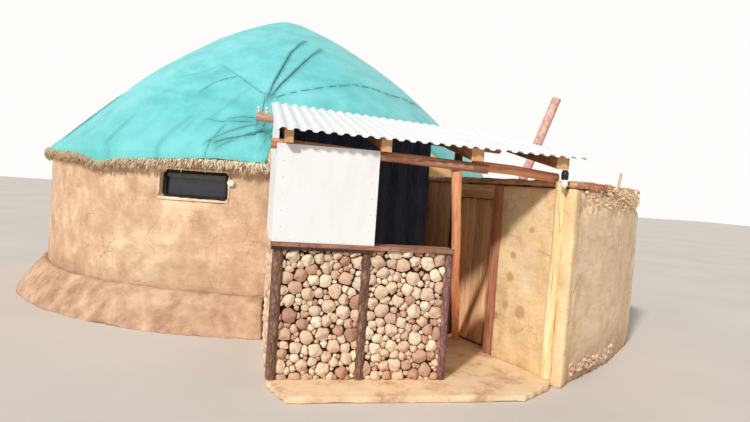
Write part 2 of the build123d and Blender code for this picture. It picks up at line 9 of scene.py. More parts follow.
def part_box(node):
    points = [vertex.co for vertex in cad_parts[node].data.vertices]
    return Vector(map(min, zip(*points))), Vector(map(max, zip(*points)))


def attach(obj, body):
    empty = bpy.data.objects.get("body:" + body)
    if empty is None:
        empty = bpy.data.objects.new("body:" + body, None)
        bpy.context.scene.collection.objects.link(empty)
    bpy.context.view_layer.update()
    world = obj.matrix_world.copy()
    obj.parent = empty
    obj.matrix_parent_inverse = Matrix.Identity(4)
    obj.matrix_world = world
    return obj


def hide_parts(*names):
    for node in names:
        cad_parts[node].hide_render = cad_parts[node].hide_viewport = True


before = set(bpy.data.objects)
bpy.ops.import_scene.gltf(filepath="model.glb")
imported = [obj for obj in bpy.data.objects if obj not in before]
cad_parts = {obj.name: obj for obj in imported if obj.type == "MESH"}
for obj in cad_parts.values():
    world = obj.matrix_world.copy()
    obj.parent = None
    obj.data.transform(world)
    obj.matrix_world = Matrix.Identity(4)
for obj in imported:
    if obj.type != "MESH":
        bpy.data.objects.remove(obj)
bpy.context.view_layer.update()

# Plan frame of the porch front's left corner, in metres, as in the part's source. Its zero level is the porch floor
YURT_X, YURT_Y = 0.220, 4.950
FLOOR_RISE = 0.060
crown_low, crown_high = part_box("crown_ring")
ORIGIN = Vector(((crown_low[0] + crown_high[0]) / 2 - YURT_X, (crown_low[1] + crown_high[1]) / 2 - YURT_Y, FLOOR_RISE))
BUILDING = "building"

# Start and direction of the wall between porch and side room
SIDE_X, SIDE_TURN = 2.500, radians(108.2)
ALONG_SIDE = Vector((cos(SIDE_TURN), sin(SIDE_TURN), 0))
OUT_SIDE = Vector((-sin(SIDE_TURN), cos(SIDE_TURN), 0))
RIGHT, BACK, UP = Vector((1, 0, 0)), Vector((0, 1, 0)), Vector((0, 0, 1))


def at(x, y, z=0.0):
    """Point of the plan frame, as a point of the row frame."""
    return Vector((x, y, z)) + ORIGIN


def beside(x, y, z=0.0):
    """Point in the frame of the wall between porch and side room."""
    return at(SIDE_X + x * cos(SIDE_TURN) - y * sin(SIDE_TURN), x * sin(SIDE_TURN) + y * cos(SIDE_TURN), z)


def link(name, data):
    made = bpy.data.objects.new(name, data)
    bpy.context.scene.collection.objects.link(made)
    return made


# ---- camera ----
CAMERA_PLACE = (-0.1774, -4.6344, 1.600)
YAW, PITCH, ROLL = radians(12.0), radians(-2.4), radians(4.0)
SENSOR = 36.0
FOCAL_SHARE = 580 / 750  # focal length over the picture's width


def place_camera():
    right = Vector((cos(YAW), -sin(YAW), 0))
    ahead = Vector((sin(YAW) * cos(PITCH), cos(YAW) * cos(PITCH), sin(PITCH)))
    up = right.cross(ahead)
    turned_right = right * cos(ROLL) + up * sin(ROLL)
    turned_up = up * cos(ROLL) - right * sin(ROLL)
    data = bpy.data.cameras.new("camera")
    data.sensor_width = SENSOR
    data.lens = SENSOR * FOCAL_SHARE
    data.clip_end = 300
    camera = link("camera", data)
    turn = Matrix((turned_right, turned_up, -ahead)).transposed().to_4x4()
    camera.matrix_world = Matrix.Translation(at(*CAMERA_PLACE)) @ turn
    bpy.context.scene.camera = camera


place_camera()


# ---- materials ----
def rgb(red, green, blue):
    """Linear colour of an sRGB colour given as 0 to 255."""
    def linear(value):
        value /= 255
        return value / 12.92 if value <= 0.04045 else ((value + 0.055) / 1.055) ** 2.4
    return (linear(red), linear(green), linear(blue), 1.0)


class Shader:
    """A material and short names for the nodes used in it."""

    def __init__(self, name, coords="Object"):
        self.material = bpy.data.materials.new(name)
        self.material.use_nodes = True
        self.tree = self.material.node_tree
        self.bsdf = self.tree.nodes["Principled BSDF"]
        if coords == "grain":
            self.coords = self.attribute("grain", "Vector")
        else:
            self.coords = self.node("TexCoord").outputs["Object"]

    def node(self, kind, **values):
        """New node, with the inputs that values names."""
        made = self.tree.nodes.new("ShaderNode" + kind)
        for name, value in values.items():
            self.put(made.inputs[name.replace("_", " ")], value)
        return made

    def put(self, socket, value):
        if isinstance(value, bpy.types.NodeSocket):
            self.tree.links.new(value, socket)
        else:
            socket.default_value = value

    def attribute(self, name, output):
        node = self.node("Attribute")
        node.attribute_name = name
        return node.outputs[output]

    def vector(self, operation, first, second=None, output="Vector"):
        node = self.node("VectorMath")
        node.operation = operation
        self.put(node.inputs[0], first)
        if second is not None:
            self.put(node.inputs[1], second)
        return node.outputs[output]

    def stretched(self, *scale):
        return self.vector("MULTIPLY", self.coords, scale)

    def noise(self, scale, detail=4.0, rough=0.55, vector=None, distortion=0.0):
        node = self.node(
            "TexNoise", Vector=vector or self.coords, Scale=scale, Detail=detail, Roughness=rough,
            Distortion=distortion)
        return node.outputs["Fac"]

    def cells(self, scale, vector=None, feature="F1"):
        node = self.node("TexVoronoi")
        node.feature = feature
        self.put(node.inputs["Vector"], vector or self.coords)
        node.inputs["Scale"].default_value = scale
        return node.outputs["Distance"]

    def ramp(self, fac, *stops):
        node = self.node("ValToRGB", Fac=fac)
        elements = node.color_ramp.elements
        while len(elements) < len(stops):
            elements.new(0.5)
        for element, (position, colour) in zip(elements, stops):
            element.position = position
            element.color = colour if isinstance(colour, tuple) else (colour, colour, colour, 1)
        return node.outputs["Color"]

    def mix(self, fac, first, second, blend="MIX"):
        node = self.node("Mix")
        node.data_type = "RGBA"
        node.blend_type = blend
        for index, value in ((0, fac), (6, first), (7, second)):
            self.put(node.inputs[index], value)
        return node.outputs[2]

    def math(self, operation, first, second=0.0):
        node = self.node("Math")
        node.operation = operation
        self.put(node.inputs[0], first)
        self.put(node.inputs[1], second)
        return node.outputs[0]

    def plus(self, first, second, share):
        """first with a share of second added."""
        return self.math("ADD", first, self.math("MULTIPLY", second, share))

    def between(self, value, low, high):
        """0 below low, 1 above high."""
        return self.node("MapRange", Value=value, From_Min=low, From_Max=high).outputs["Result"]

    def below(self, value, low, high):
        """1 below low, 0 above high."""
        return self.math("SUBTRACT", 1.0, self.between(value, low, high))

    def tint(self, colour, mask, share, top):
        """colour with a share of top where mask is 1."""
        return self.mix(self.math("MULTIPLY", mask, share), colour, top)

    def axis(self, name):
        node = self.node("SeparateXYZ")
        self.put(node.inputs[0], self.coords)
        return node.outputs[name]

    def tone(self):
        return self.attribute("tone", "Fac")

    def bump(self, height, distance, strength=1.0, normal=None):
        node = self.node("Bump", Strength=strength, Distance=distance, Height=height)
        if normal:
            self.put(node.inputs["Normal"], normal)
        return node.outputs["Normal"]

    def done(self, colour, roughness=0.85, normal=None, specular=0.3, **more):
        more.update(Base_Color=colour, Roughness=roughness, Specular_IOR_Level=specular)
        if normal:
            more["Normal"] = normal
        for name, value in more.items():
            self.put(self.bsdf.inputs[name.replace("_", " ")], value)
        return self.material


def plaster(name, dark, base, pale, damp_top=0.55, damp=0.35, spots=()):
    """Mud plaster: trowelled patches, chopped straw, hair cracks, a damper foot and stains as (x, y, z, size)."""
    s = Shader(name)
    patches = s.noise(1.3, 5.0, 0.6)
    clouds = s.noise(4.5, 7.0, 0.72, s.stretched(1.0, 1.0, 0.75))
    washes = s.noise(0.9, 2.0, 0.5, s.stretched(1.0, 1.0, 2.2))
    stain = s.noise(2.3, 6.0, 0.7, s.stretched(1.0, 1.0, 1.6))
    grit = s.noise(95.0, 4.0, 0.7)
    soft = tuple(0.45 * d + 0.55 * b for d, b in zip(dark, base))
    ochre = tuple(a * b for a, b in zip(soft, (0.78, 0.80, 0.70, 1.0)))
    colour = s.ramp(clouds, (0.28, soft), (0.50, base), (0.72, pale))
    colour = s.tint(colour, s.between(patches, 0.46, 0.66), 0.40, soft)
    colour = s.tint(colour, s.between(grit, 0.54, 0.70), 0.30, dark)
    colour = s.tint(colour, s.between(washes, 0.56, 0.72), 0.55, pale)
    colour = s.tint(colour, s.between(stain, 0.50, 0.68), 0.55, ochre)
    for x, y, z, size in spots:
        away = s.vector("DISTANCE", s.coords, at(x, y, z), "Value")
        edge = s.plus(away, s.noise(20.0, 4.0), 0.6 * size)
        colour = s.tint(colour, s.below(edge, 0.95 * size, 1.45 * size), 0.55, dark)
    level = s.plus(s.axis("Z"), patches, 0.5)
    colour = s.tint(colour, s.below(level, damp_top, damp_top + 0.45), damp, dark)
    straw = s.cells(60.0, s.stretched(1.0, 1.0, 0.22))
    colour = s.tint(colour, s.below(straw, 0.10, 0.17), 0.30, pale)
    warped = s.vector("ADD", s.coords, s.ramp(s.noise(3.0, 3.0), (0.2, 0.0), (0.8, 0.35)))
    crack = s.below(s.cells(2.1, warped, "DISTANCE_TO_EDGE"), 0.0, 0.012)
    crack = s.math("MULTIPLY", crack, s.between(s.noise(1.9, 2.0), 0.50, 0.62))
    colour = s.tint(colour, crack, 0.55, dark)
    strokes = s.noise(7.0, 3.0, 0.5, s.stretched(1.0, 1.0, 3.2))
    height = s.plus(s.math("MULTIPLY", grit, 0.25), strokes, 0.8)
    return s.done(colour, 0.93, s.bump(s.plus(height, crack, -0.35), 0.012, 0.8), 0.15)


def earth(name, dark, base, pale):
    """Trodden or baked earth with grit and small stones."""
    s = Shader(name)
    grit = s.noise(70.0, 5.0, 0.75)
    pebbles = s.below(s.cells(38.0), 0.0, 0.32)
    colour = s.ramp(s.noise(4.0, 7.0, 0.65), (0.32, dark), (0.5, base), (0.7, pale))
    colour = s.tint(colour, pebbles, 0.35, pale)
    return s.done(colour, 0.95, s.bump(s.plus(grit, pebbles, 0.4), 0.008, 0.8), 0.12)


def wood(name, dark, base, pale, cracks=0.6, coords="grain", along=(1.0, 1.0, 0.09)):
    """Long-grained wood: streaks, drying cracks, knots and a tone of its own for each log or board."""
    s = Shader(name, coords)
    stretched = s.stretched(*along)
    streaks = s.noise(42.0, 6.0, 0.65, stretched, 0.4)
    broad = s.noise(6.0, 4.0, 0.6, stretched)
    fine = s.noise(230.0, 3.0, 0.6, stretched)
    colour = s.ramp(streaks, (0.28, dark), (0.52, base), (0.76, pale))
    colour = s.tint(colour, s.between(broad, 0.40, 0.70), 0.45, dark)
    slit = s.noise(26.0, 2.0, 0.5, s.stretched(1.0, 1.0, 0.035))
    slit = s.below(s.math("ABSOLUTE", s.math("SUBTRACT", slit, 0.5)), 0.004, 0.016)
    slit = s.math("MULTIPLY", slit, s.between(broad, 0.42, 0.56))
    colour = s.tint(colour, slit, cracks, tuple(0.35 * v for v in dark[:3]) + (1.0,))
    knot = s.cells(5.5, s.stretched(1.0, 1.0, 0.30))
    colour = s.tint(colour, s.below(knot, 0.06, 0.16), 0.6, dark)
    if coords == "grain":
        colour = s.mix(1.0, colour, s.ramp(s.tone(), (0.0, 0.55), (1.0, 1.35)), "MULTIPLY")
    height = s.plus(s.math("MULTIPLY", streaks, 0.7), fine, 0.3)
    return s.done(colour, 0.75, s.bump(s.plus(height, slit, -0.8), 0.004, 0.9), 0.25)


def sawn_end(name, dark, pale):
    """Cut end of a log: growth rings and checks from the heart."""
    s = Shader(name, "grain")
    flat = s.stretched(1.0, 1.0, 0.0)
    away = s.plus(s.vector("LENGTH", flat, output="Value"), s.noise(18.0, 3.0, vector=flat), 0.012)
    rings = s.math("SINE", s.math("MULTIPLY", away, 900.0))
    colour = s.mix(s.between(rings, -1.0, 1.0), dark, pale)
    colour = s.tint(colour, s.between(s.noise(60.0, 4.0), 0.5, 0.7), 0.4, dark)
    return s.done(colour, 0.85, s.bump(rings, 0.001, 0.5), 0.2)


def bark(name, dark, base, pale):
    """Bark or grey weathered wood in plates."""
    s = Shader(name, "grain")
    plates = s.cells(26.0, s.stretched(1.0, 1.0, 0.35), "DISTANCE_TO_EDGE")
    clouds = s.noise(22.0, 6.0, 0.7, s.stretched(1.0, 1.0, 0.5))
    colour = s.ramp(clouds, (0.30, dark), (0.5, base), (0.72, pale))
    colour = s.tint(colour, s.below(plates, 0.0, 0.12), 0.5, dark)
    height = s.plus(s.between(plates, 0.0, 0.12), clouds, 0.6)
    return s.done(colour, 0.9, s.bump(height, 0.005, 1.0), 0.15)


def stone(name, *colours):
    """Washed river stones: each has its own tone, with veins, pits and a dusting of mud."""
    s = Shader(name)
    stops = [(index / (len(colours) - 1), colour) for index, colour in enumerate(colours)]
    mottle = s.noise(34.0, 6.0, 0.7)
    speck = s.noise(160.0, 3.0, 0.8)
    colour = s.ramp(s.tone(), *stops)
    colour = s.tint(colour, s.between(mottle, 0.46, 0.72), 0.45, rgb(150, 104, 78))
    colour = s.tint(colour, s.between(speck, 0.52, 0.66), 0.3, rgb(248, 232, 208))
    return s.done(colour, 0.82, s.bump(s.plus(mottle, speck, 0.35), 0.006, 0.9), 0.25)


def straw_look(name, dark, base, pale):
    """Straw: each strand has its own tone, which on the lower straw also carries painted shade, and fine lines along
    it.
    """
    s = Shader(name, "grain")
    strands = s.noise(120.0, 5.0, 0.7, s.stretched(1.0, 1.0, 0.06))
    colour = s.ramp(s.tone(), (0.0, dark), (0.45, base), (0.9, pale))
    shade = s.ramp(strands, (0.26, (0.62, 0.56, 0.50, 1)), (0.52, 1.0))
    return s.done(s.mix(1.0, colour, shade, "MULTIPLY"), 0.8, s.bump(strands, 0.004, 0.9), 0.25)


def tarpaulin(name):
    """Woven plastic sheet: fine weave, faint creases, dust, sun-faded patches, and painted shade along the folds'
    creases.
    """
    s = Shader(name)
    faded = s.noise(0.8, 4.0, 0.55)
    clouds = s.noise(3.5, 5.0, 0.6)
    colour = s.ramp(clouds, (0.25, rgb(78, 186, 186)), (0.55, rgb(106, 210, 214)), (0.8, rgb(134, 224, 230)))
    colour = s.tint(colour, s.between(faded, 0.42, 0.68), 0.40, rgb(152, 232, 238))
    colour = s.tint(colour, s.between(s.noise(9.0, 7.0, 0.7), 0.56, 0.78), 0.30, rgb(150, 190, 176))
    # darker towards the foot of the dome
    colour = s.tint(colour, s.below(s.plus(s.axis("Z"), faded, 0.8), 2.2, 3.1), 0.40, rgb(92, 190, 186))
    # painted shade along the folds' creases, from the tone attribute
    colour = s.mix(s.math("SUBTRACT", 1.0, s.tone()), colour, rgb(22, 84, 96))
    weave = s.node("TexWave", Vector=s.coords, Scale=90.0, Distortion=1.5)
    normal = s.bump(s.noise(13.0, 5.0, 0.6, distortion=0.8), 0.02, 0.35)
    normal = s.bump(weave.outputs["Fac"], 0.0008, 0.4, normal)
    return s.done(colour, 0.55, normal, 0.4, Sheen_Weight=0.15)


def cloth(name, dark, base, pale):
    """Plain woven cotton: warp and weft, slubs and washed-out patches."""
    s = Shader(name)
    weave = s.node("TexWave", Vector=s.coords, Scale=220.0)
    weave.bands_direction = "Z"
    weft = s.node("TexWave", Vector=s.coords, Scale=220.0)
    weft.bands_direction = "X"
    slub = s.noise(60.0, 4.0, 0.6, s.stretched(1.0, 1.0, 0.1))
    colour = s.ramp(slub, (0.3, dark), (0.5, base), (0.75, pale))
    colour = s.tint(colour, s.between(s.noise(2.2, 5.0, 0.6), 0.45, 0.7), 0.4, pale)
    threads = s.math("MULTIPLY", weave.outputs["Fac"], weft.outputs["Fac"])
    return s.done(colour, 0.95, s.bump(threads, 0.0006, 0.6), 0.1, Sheen_Weight=0.2)


def sheet_metal(name, base, worn, dirt):
    """Painted sheet with streaks and spots of dirt, faintly dented."""
    s = Shader(name)
    streaks = s.noise(9.0, 5.0, 0.6, s.stretched(1.0, 0.25, 0.25))
    spots = s.between(s.noise(30.0, 5.0, 0.7), 0.58, 0.74)
    colour = s.tint(base, s.between(streaks, 0.46, 0.75), dirt, worn)
    colour = s.tint(colour, spots, dirt, worn)
    rough = s.ramp(streaks, (0.3, 0.32), (0.7, 0.48))
    return s.done(colour, rough, s.bump(s.noise(5.0, 2.0), 0.006, 0.3), 0.45)


def rusted(name, dark, base, pale):
    """Pipe with a dry, pale rust."""
    s = Shader(name)
    clouds = s.noise(16.0, 7.0, 0.7)
    colour = s.ramp(clouds, (0.30, dark), (0.5, base), (0.72, pale))
    return s.done(colour, 0.88, s.bump(clouds, 0.004, 0.9), 0.3)


def plain(name, dark, base, roughness, scale=40.0, bump=0.0008, specular=0.4, coat=0.0):
    """Smooth painted, moulded or cast surface with a faint mottle."""
    s = Shader(name)
    clouds = s.noise(scale, 4.0, 0.6)
    colour = s.ramp(clouds, (0.3, dark), (0.65, base))
    return s.done(colour, roughness, s.bump(clouds, bump, 0.6), specular, Coat_Weight=coat)


# Stains on the porch's inner wall, as (x, y, z, size) in the plan frame
WALL_STAINS = (
    (2.313, 0.570, 0.816, 0.055), (2.366, 0.408, 0.510, 0.070), (2.301, 0.606, 0.533, 0.045),
    (2.318, 0.554, 1.034, 0.040), (2.387, 0.344, 1.299, 0.035), (2.260, 0.731, 0.400, 0.045))

# Each look: its maker, the material's name, its colours from dark to pale, and what the maker takes besides
LOOKS = {
    "wall": (plaster, "mud_wall", [(150, 118, 92), (220, 184, 152), (248, 222, 190)]),
    # near-black plaster of the round wall within the porch: painted shade under the porch roof
    "porch_shade_wall": (plaster, "limewashed_wall", [(26, 29, 36), (36, 40, 49), (50, 54, 62)], 0.0, 0.0),
    "porch_wall": (
        plaster, "porch_wall", [(176, 124, 82), (255, 222, 174), (255, 236, 198)], 0.14, 0.35, WALL_STAINS),
    "room_wall": (plaster, "room_wall", [(188, 146, 114), (255, 224, 188), (255, 238, 208)], 0.30, 0.42),
    "lip": (plaster, "pale_plaster", [(196, 156, 118), (246, 220, 184), (255, 240, 214)], 0.0, 0.0),
    "grey_board": (plain, "grey_board", [(84, 86, 84), (122, 124, 118)], 0.7, 12.0),
    "earth": (earth, "bank_earth", [(164, 128, 102), (202, 166, 138), (232, 200, 170)]),
    "clay": (earth, "roof_clay", [(168, 122, 92), (214, 168, 132), (240, 204, 168)]),
    "brick": (earth, "burnt_clay", [(150, 84, 70), (206, 132, 110), (228, 166, 142)]),
    "concrete": (earth, "trodden_slab", [(206, 166, 130), (254, 220, 178), (255, 238, 204)]),
    # mortar near-black as painted shade deep in the joints between the stones
    "mortar": (earth, "wall_mortar", [(38, 27, 22), (64, 46, 37), (92, 68, 54)]),
    "grey_log": (bark, "grey_log", [(86, 62, 54), (134, 102, 88), (178, 144, 124)]),
    "purple_log": (bark, "purple_log", [(92, 62, 60), (140, 102, 96), (178, 140, 128)]),
    "brown_log": (wood, "brown_log", [(70, 40, 26), (116, 72, 48), (150, 100, 70)]),
    "orange_log": (wood, "orange_log", [(222, 128, 84), (252, 186, 140), (255, 214, 176)], 0.45),
    "yellow_log": (wood, "yellow_log", [(226, 186, 124), (254, 232, 182), (255, 244, 208)], 0.4),
    "beam": (wood, "beam_wood", [(140, 88, 66), (214, 154, 122), (240, 196, 162)]),
    "pale_beam": (wood, "pale_beam", [(150, 104, 82), (222, 184, 158), (246, 220, 198)]),
    "rafter": (wood, "rafter_wood", [(120, 72, 52), (192, 130, 98), (224, 172, 138)]),
    "pale_stick": (wood, "pale_stick", [(206, 172, 132), (240, 214, 176), (252, 236, 206)], 0.3),
    "cut": (sawn_end, "cut_wood", [(196, 140, 96), (240, 198, 150)]),
    "door": (wood, "door_planks", [(214, 150, 108), (255, 204, 152), (255, 226, 182)]),
    "jamb": (wood, "jamb_board", [(150, 92, 68), (206, 140, 106), (230, 172, 138)], 0.6, "Object"),
    "hidden_wood": (
        wood, "inner_timber", [(96, 66, 46), (140, 102, 74), (176, 138, 104)], 0.6, "Object", (1.0, 1.0, 0.5)),
    "sill": (wood, "sill_wood", [(116, 76, 60), (176, 128, 104), (212, 168, 140)], 0.6, "Object", (0.09, 1.0, 1.0)),
    "dark_board": (wood, "dark_board", [(48, 30, 26), (76, 50, 42), (104, 72, 58)]),
    "frame": (wood, "window_frame", [(26, 24, 25), (38, 37, 39), (58, 55, 55)], 0.6, "Object", (0.12, 0.12, 1.0)),
    # dark navy cloth inside the porch: its darkness is painted shade
    "navy": (cloth, "navy_cloth", [(42, 50, 69), (62, 72, 97), (78, 90, 116)]),
    "stone": (stone, "river_stone", [
        (186, 140, 116), (214, 172, 144), (236, 208, 178), (250, 234, 208), (226, 192, 162),
        (254, 242, 220), (206, 160, 134), (242, 220, 192), (198, 152, 128), (250, 232, 206)]),
    "straw": (straw_look, "straw", [(116, 74, 42), (255, 208, 148), (255, 250, 228)]),
    "tarp": (tarpaulin, "tarpaulin", []),
    "white": (sheet_metal, "white_sheet", [(244, 244, 246), (206, 200, 196)], 0.22),
    "roof": (sheet_metal, "roof_sheet", [(240, 241, 244), (196, 192, 190)], 0.30),
    "rust": (rusted, "rusted_pipe", [(178, 124, 112), (222, 178, 166), (244, 216, 208)]),
    "iron": (plain, "dark_iron", [(34, 26, 22), (74, 62, 56)], 0.6),
    "black": (plain, "black_plastic", [(16, 15, 15), (40, 38, 36)], 0.45),
    "white_plastic": (plain, "white_plastic", [(206, 202, 192), (236, 234, 226)], 0.35),
    "porcelain": (plain, "porcelain", [(196, 190, 178), (232, 228, 216)], 0.2),
    "bulb": (plain, "milk_glass", [(232, 230, 222), (250, 249, 244)], 0.15, 40.0, 0.0008, 0.4, 0.6),
    "nail": (plain, "nail_head", [(178, 162, 140), (226, 212, 190)], 0.4),
    "glass": (plain, "window_glass", [(34, 36, 42), (50, 53, 60)], 0.08, 3.0, 0.0006, 0.6),
}
LOOK = {
    look: make(name, *(rgb(*colour) for colour in colours), *more)
    for look, (make, name, colours, *more) in LOOKS.items()}


# ---- mesh building ----
def ripple(x, y=0.0, z=0.0):
    """Smooth noise, from about -1 to 1."""
    return noise.noise(Vector((x, y, z)))


def wave(point, scale, seed=0.0):
    return ripple(point[0] * scale + seed, point[1] * scale - seed, point[2] * scale + seed * 0.37)


class Piece:
    """Gathers lofted forms into one mesh, and keeps a grain direction and a tone at each point."""

    def __init__(self, name):
        self.name = name
        self.points, self.faces, self.kinds, self.grain, self.tones = [], [], [], [], []

    def loft(self, rings, grains=None, tone=0.5, kind=0, cap_kind=None, caps=True):
        """Closed rings of points, joined one to the next; kind is the index of the piece's look."""
        count = len(rings[0])
        first = len(self.points)
        last = first + (len(rings) - 1) * count
        for row, ring in enumerate(rings):
            self.points += ring
            self.grain += grains[row] if grains else ring
            self.tones += [tone] * count
        for a in range(first, last):
            b = a + 1 if (a + 1 - first) % count else a + 1 - count
            self.faces.append((a, b, b + count, a + count))
            self.kinds.append(kind)
        if caps:
            self.faces += [tuple(reversed(range(first, first + count))), tuple(range(last, last + count))]
            self.kinds += [kind if cap_kind is None else cap_kind] * 2

    def make(self, looks, slot, body=BUILDING, replaces=(), sharp=38.0):
        mesh = new_mesh(self.name, self.points, self.faces, looks, self.tones)
        mesh.polygons.foreach_set("material_index", self.kinds)
        grain = mesh.attributes.new("grain", "FLOAT_VECTOR", "POINT")
        grain.data.foreach_set("vector", [value for vector in self.grain for value in vector])
        return add_object(self.name, mesh, body, replaces, sharp)


def new_mesh(name, points, faces, looks, tones=None):
    mesh = bpy.data.meshes.new(name)
    mesh.from_pydata(points, [], faces)
    for look in looks:
        mesh.materials.append(LOOK[look])
    if tones:
        mesh.attributes.new("tone", "FLOAT", "POINT").data.foreach_set("value", tones)
    return mesh


def add_object(name, mesh, body=BUILDING, replaces=(), sharp=38.0):
    work = bmesh.new()
    work.from_mesh(mesh)
    bmesh.ops.recalc_face_normals(work, faces=work.faces)
    work.to_mesh(mesh)
    work.free()
    mesh.polygons.foreach_set("use_smooth", [True] * len(mesh.polygons))
    mesh.set_sharp_from_angle(angle=radians(sharp))
    mesh.update()
    made = link(name, mesh)
    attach(made, body)
    if replaces:
        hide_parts(*replaces)
    return made


def skin(name, nodes, voxel, move, look, other=None):
    """Remeshed copy of CAD nodes, whose points are then moved by move(point, normal).

    other is a second look and a test of a face's middle that gives it.
    """
    work = bmesh.new()
    for node in nodes:
        work.from_mesh(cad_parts[node].data)
    mesh = bpy.data.meshes.new(name + "_source")
    work.to_mesh(mesh)
    work.free()
    source = link(name + "_source", mesh)
    remesh = source.modifiers.new("remesh", "REMESH")
    remesh.mode = "VOXEL"
    remesh.voxel_size = voxel
    graph = bpy.context.evaluated_depsgraph_get()
    made = bpy.data.meshes.new_from_object(source.evaluated_get(graph))
    bpy.data.objects.remove(source)
    made.name = name
    normals = [vertex.normal.copy() for vertex in made.vertices]
    for vertex, normal in zip(made.vertices, normals):
        vertex.co += move(vertex.co - ORIGIN, normal)
        vertex.co.z = max(vertex.co.z, 0.0)
    made.materials.clear()
    made.materials.append(LOOK[look])
    if other:
        made.materials.append(LOOK[other[0]])
        for polygon in made.polygons:
            polygon.material_index = 1 if other[1](polygon.center - ORIGIN) else 0
    return add_object(name, made, BUILDING, nodes, 70.0)


def log(piece, start, end, diameter, seed, tone=0.5, rough=0.05, bend=0.004, taper=0.06, kind=0):
    """Round log with swellings, a slight bend and cut ends."""
    axis = end - start
    length = axis.length
    axis.normalize()
    side = axis.orthogonal().normalized()
    other = axis.cross(side)
    sides = 20
    steps = max(8, int(length / 0.035))
    rings, grains = [], []
    for step in range(steps + 1):
        share = step / steps
        along = share * length
        sway = min(share, 1 - share) * 4 * bend
        centre = start + axis * along
        centre += side * sway * ripple(seed, 0.3, along * 1.1) * 2
        centre += other * sway * ripple(seed, 7.3, along * 1.1) * 2
        radius = diameter / 2 * (1 + taper * (0.5 - share))
        if step in (0, steps):
            radius *= 0.965
        ring, grain = [], []
        for index in range(sides):
            turn = 2 * pi * index / sides
            out = side * cos(turn) + other * sin(turn)
            swell = ripple(cos(turn) * 1.2 + seed, sin(turn) * 1.2, along * 3.0)
            swell += 0.5 * ripple(cos(turn) * 3.1, sin(turn) * 3.1 + seed, along * 11.0)
            ring.append(centre + out * radius * (1 + rough * swell))
            grain.append(Vector((cos(turn) * radius, sin(turn) * radius, along + seed)))
        rings.append(ring)
        grains.append(grain)
    piece.loft(rings, grains, tone, kind, 1)


def plank(piece, corner, across, thick, along, seed, tone=0.5, cap=1, rough=0.0015):
    """Board from one corner along three edge vectors, with softened edges and a slightly uneven face."""
    width, depth, length = across.length, thick.length, along.length
    u, v, w = across.normalized(), thick.normalized(), along.normalized()
    soft = min(0.004, depth * 0.25, width * 0.25)
    spread = max(2, int(width / 0.03))
    outline = [(soft + (width - 2 * soft) * i / spread, 0.0) for i in range(spread + 1)]
    outline += [(width, soft), (width, depth - soft)]
    outline += [(width - soft - (width - 2 * soft) * i / spread, depth) for i in range(spread + 1)]
    outline += [(0.0, depth - soft), (0.0, soft)]
    steps = max(3, int(length / 0.08))
    rings, grains = [], []
    for step in range(steps + 1):
        share = step / steps
        ring, grain = [], []
        for a, b in outline:
            point = corner + u * a + v * b + w * (length * share)
            shake = rough * ripple(a * 14 + seed, b * 14, length * share * 4)
            edge = rough * 1.5 * ripple(seed * 1.7, a * 3, length * share * 6)
            ring.append(point + v * shake + u * edge * (1 if a > width / 2 else -1))
            grain.append(Vector((a + seed * 0.31, b, length * share + seed)))
        rings.append(ring)
        grains.append(grain)
    piece.loft(rings, grains, tone, 0, cap)


def lathe(piece, centre, axis, profile, sides=24):
    """Turned form: profile is (radius, distance along the axis)."""
    axis = axis.normalized()
    side = axis.orthogonal().normalized()
    other = axis.cross(side)
    turns = [2 * pi * index / sides for index in range(sides)]
    piece.loft([
        [centre + axis * along + (side * cos(turn) + other * sin(turn)) * radius for turn in turns]
        for radius, along in profile])


def nail(piece, point, out, radius):
    lathe(piece, point, out, ((radius * 0.4, -0.004), (radius, 0.0), (radius, 0.0012), (radius * 0.45, 0.0026)), 10)


def strand(piece, start, ahead, across, length, wide, stages, rng, tone, droop=0.0):
    """Three-sided straw end; stages is (share of the length, share of the width), and tone draws its tone."""
    thick = ahead.cross(across)
    rings = []
    for share, size in stages:
        centre = start + ahead * length * share - UP * droop * share * share
        sides = (across * wide * size, thick * wide * size, (across + thick) * wide * -0.7 * size)
        rings.append([centre + side for side in sides])
    grain = [[Vector((rng.random(), 0, row * 0.03))] * 3 for row in range(len(stages))]
    piece.loft(rings, grain, tone())


# ---- yurt walls, bank, porch slab, side room walls ----
CAD_FLATS = 48  # sides of the part's round walls, which the skins bring to the true round


def rounded(point):
    """Step that takes a point from the CAD's flats to the true round."""
    x, y = point.x - YURT_X, point.y - YURT_Y
    side = 2 * pi / CAD_FLATS
    off = atan2(y, x) % side - side / 2
    return Vector((x, y, 0)) * (cos(off) / cos(side / 2) - 1)


def yurt_wall_move(point, normal):
    """Hand-laid plaster: broad waves and trowel ridges."""
    lumps = 0.013 * wave(point, 1.3) + 0.007 * wave(point, 4.1, 3.1) + 0.0030 * wave(point, 12.0, 8.2)
    return normal * (lumps + 0.0016 * wave(point, 31.0, 5.0)) + rounded(point)


def in_porch(point):
    """Whether a place on the round wall's outside lies within the porch."""
    radius = hypot(point.x - YURT_X, point.y - YURT_Y)
    return radius > 3.10 and 0.02 < point.x < 2.10 and point.y < 3.0 and point.z > -0.02


def bank_move(point, normal):
    """Heaped earth, lumpier at the foot and slumped along its top."""
    low = max(0.0, 1 - point.z / 0.4)
    lumps = 0.024 * wave(point, 1.3) + 0.016 * wave(point, 4.2, 2.0) * low + 0.006 * wave(point, 12.0)
    lumps += 0.003 * wave(point, 30.0, 4.0)
    if abs(normal.z) >= 0.97 and point.z <= 0:
        lumps = 0.0
    ledge = max(0.0, normal.z) * max(0.0, (point.z - 0.22) / 0.15)
    sunk = Vector((0, 0, -0.045 * ledge * (0.6 + 0.8 * wave(point, 2.3, 6.0))))
    return normal * lumps + sunk + rounded(point)


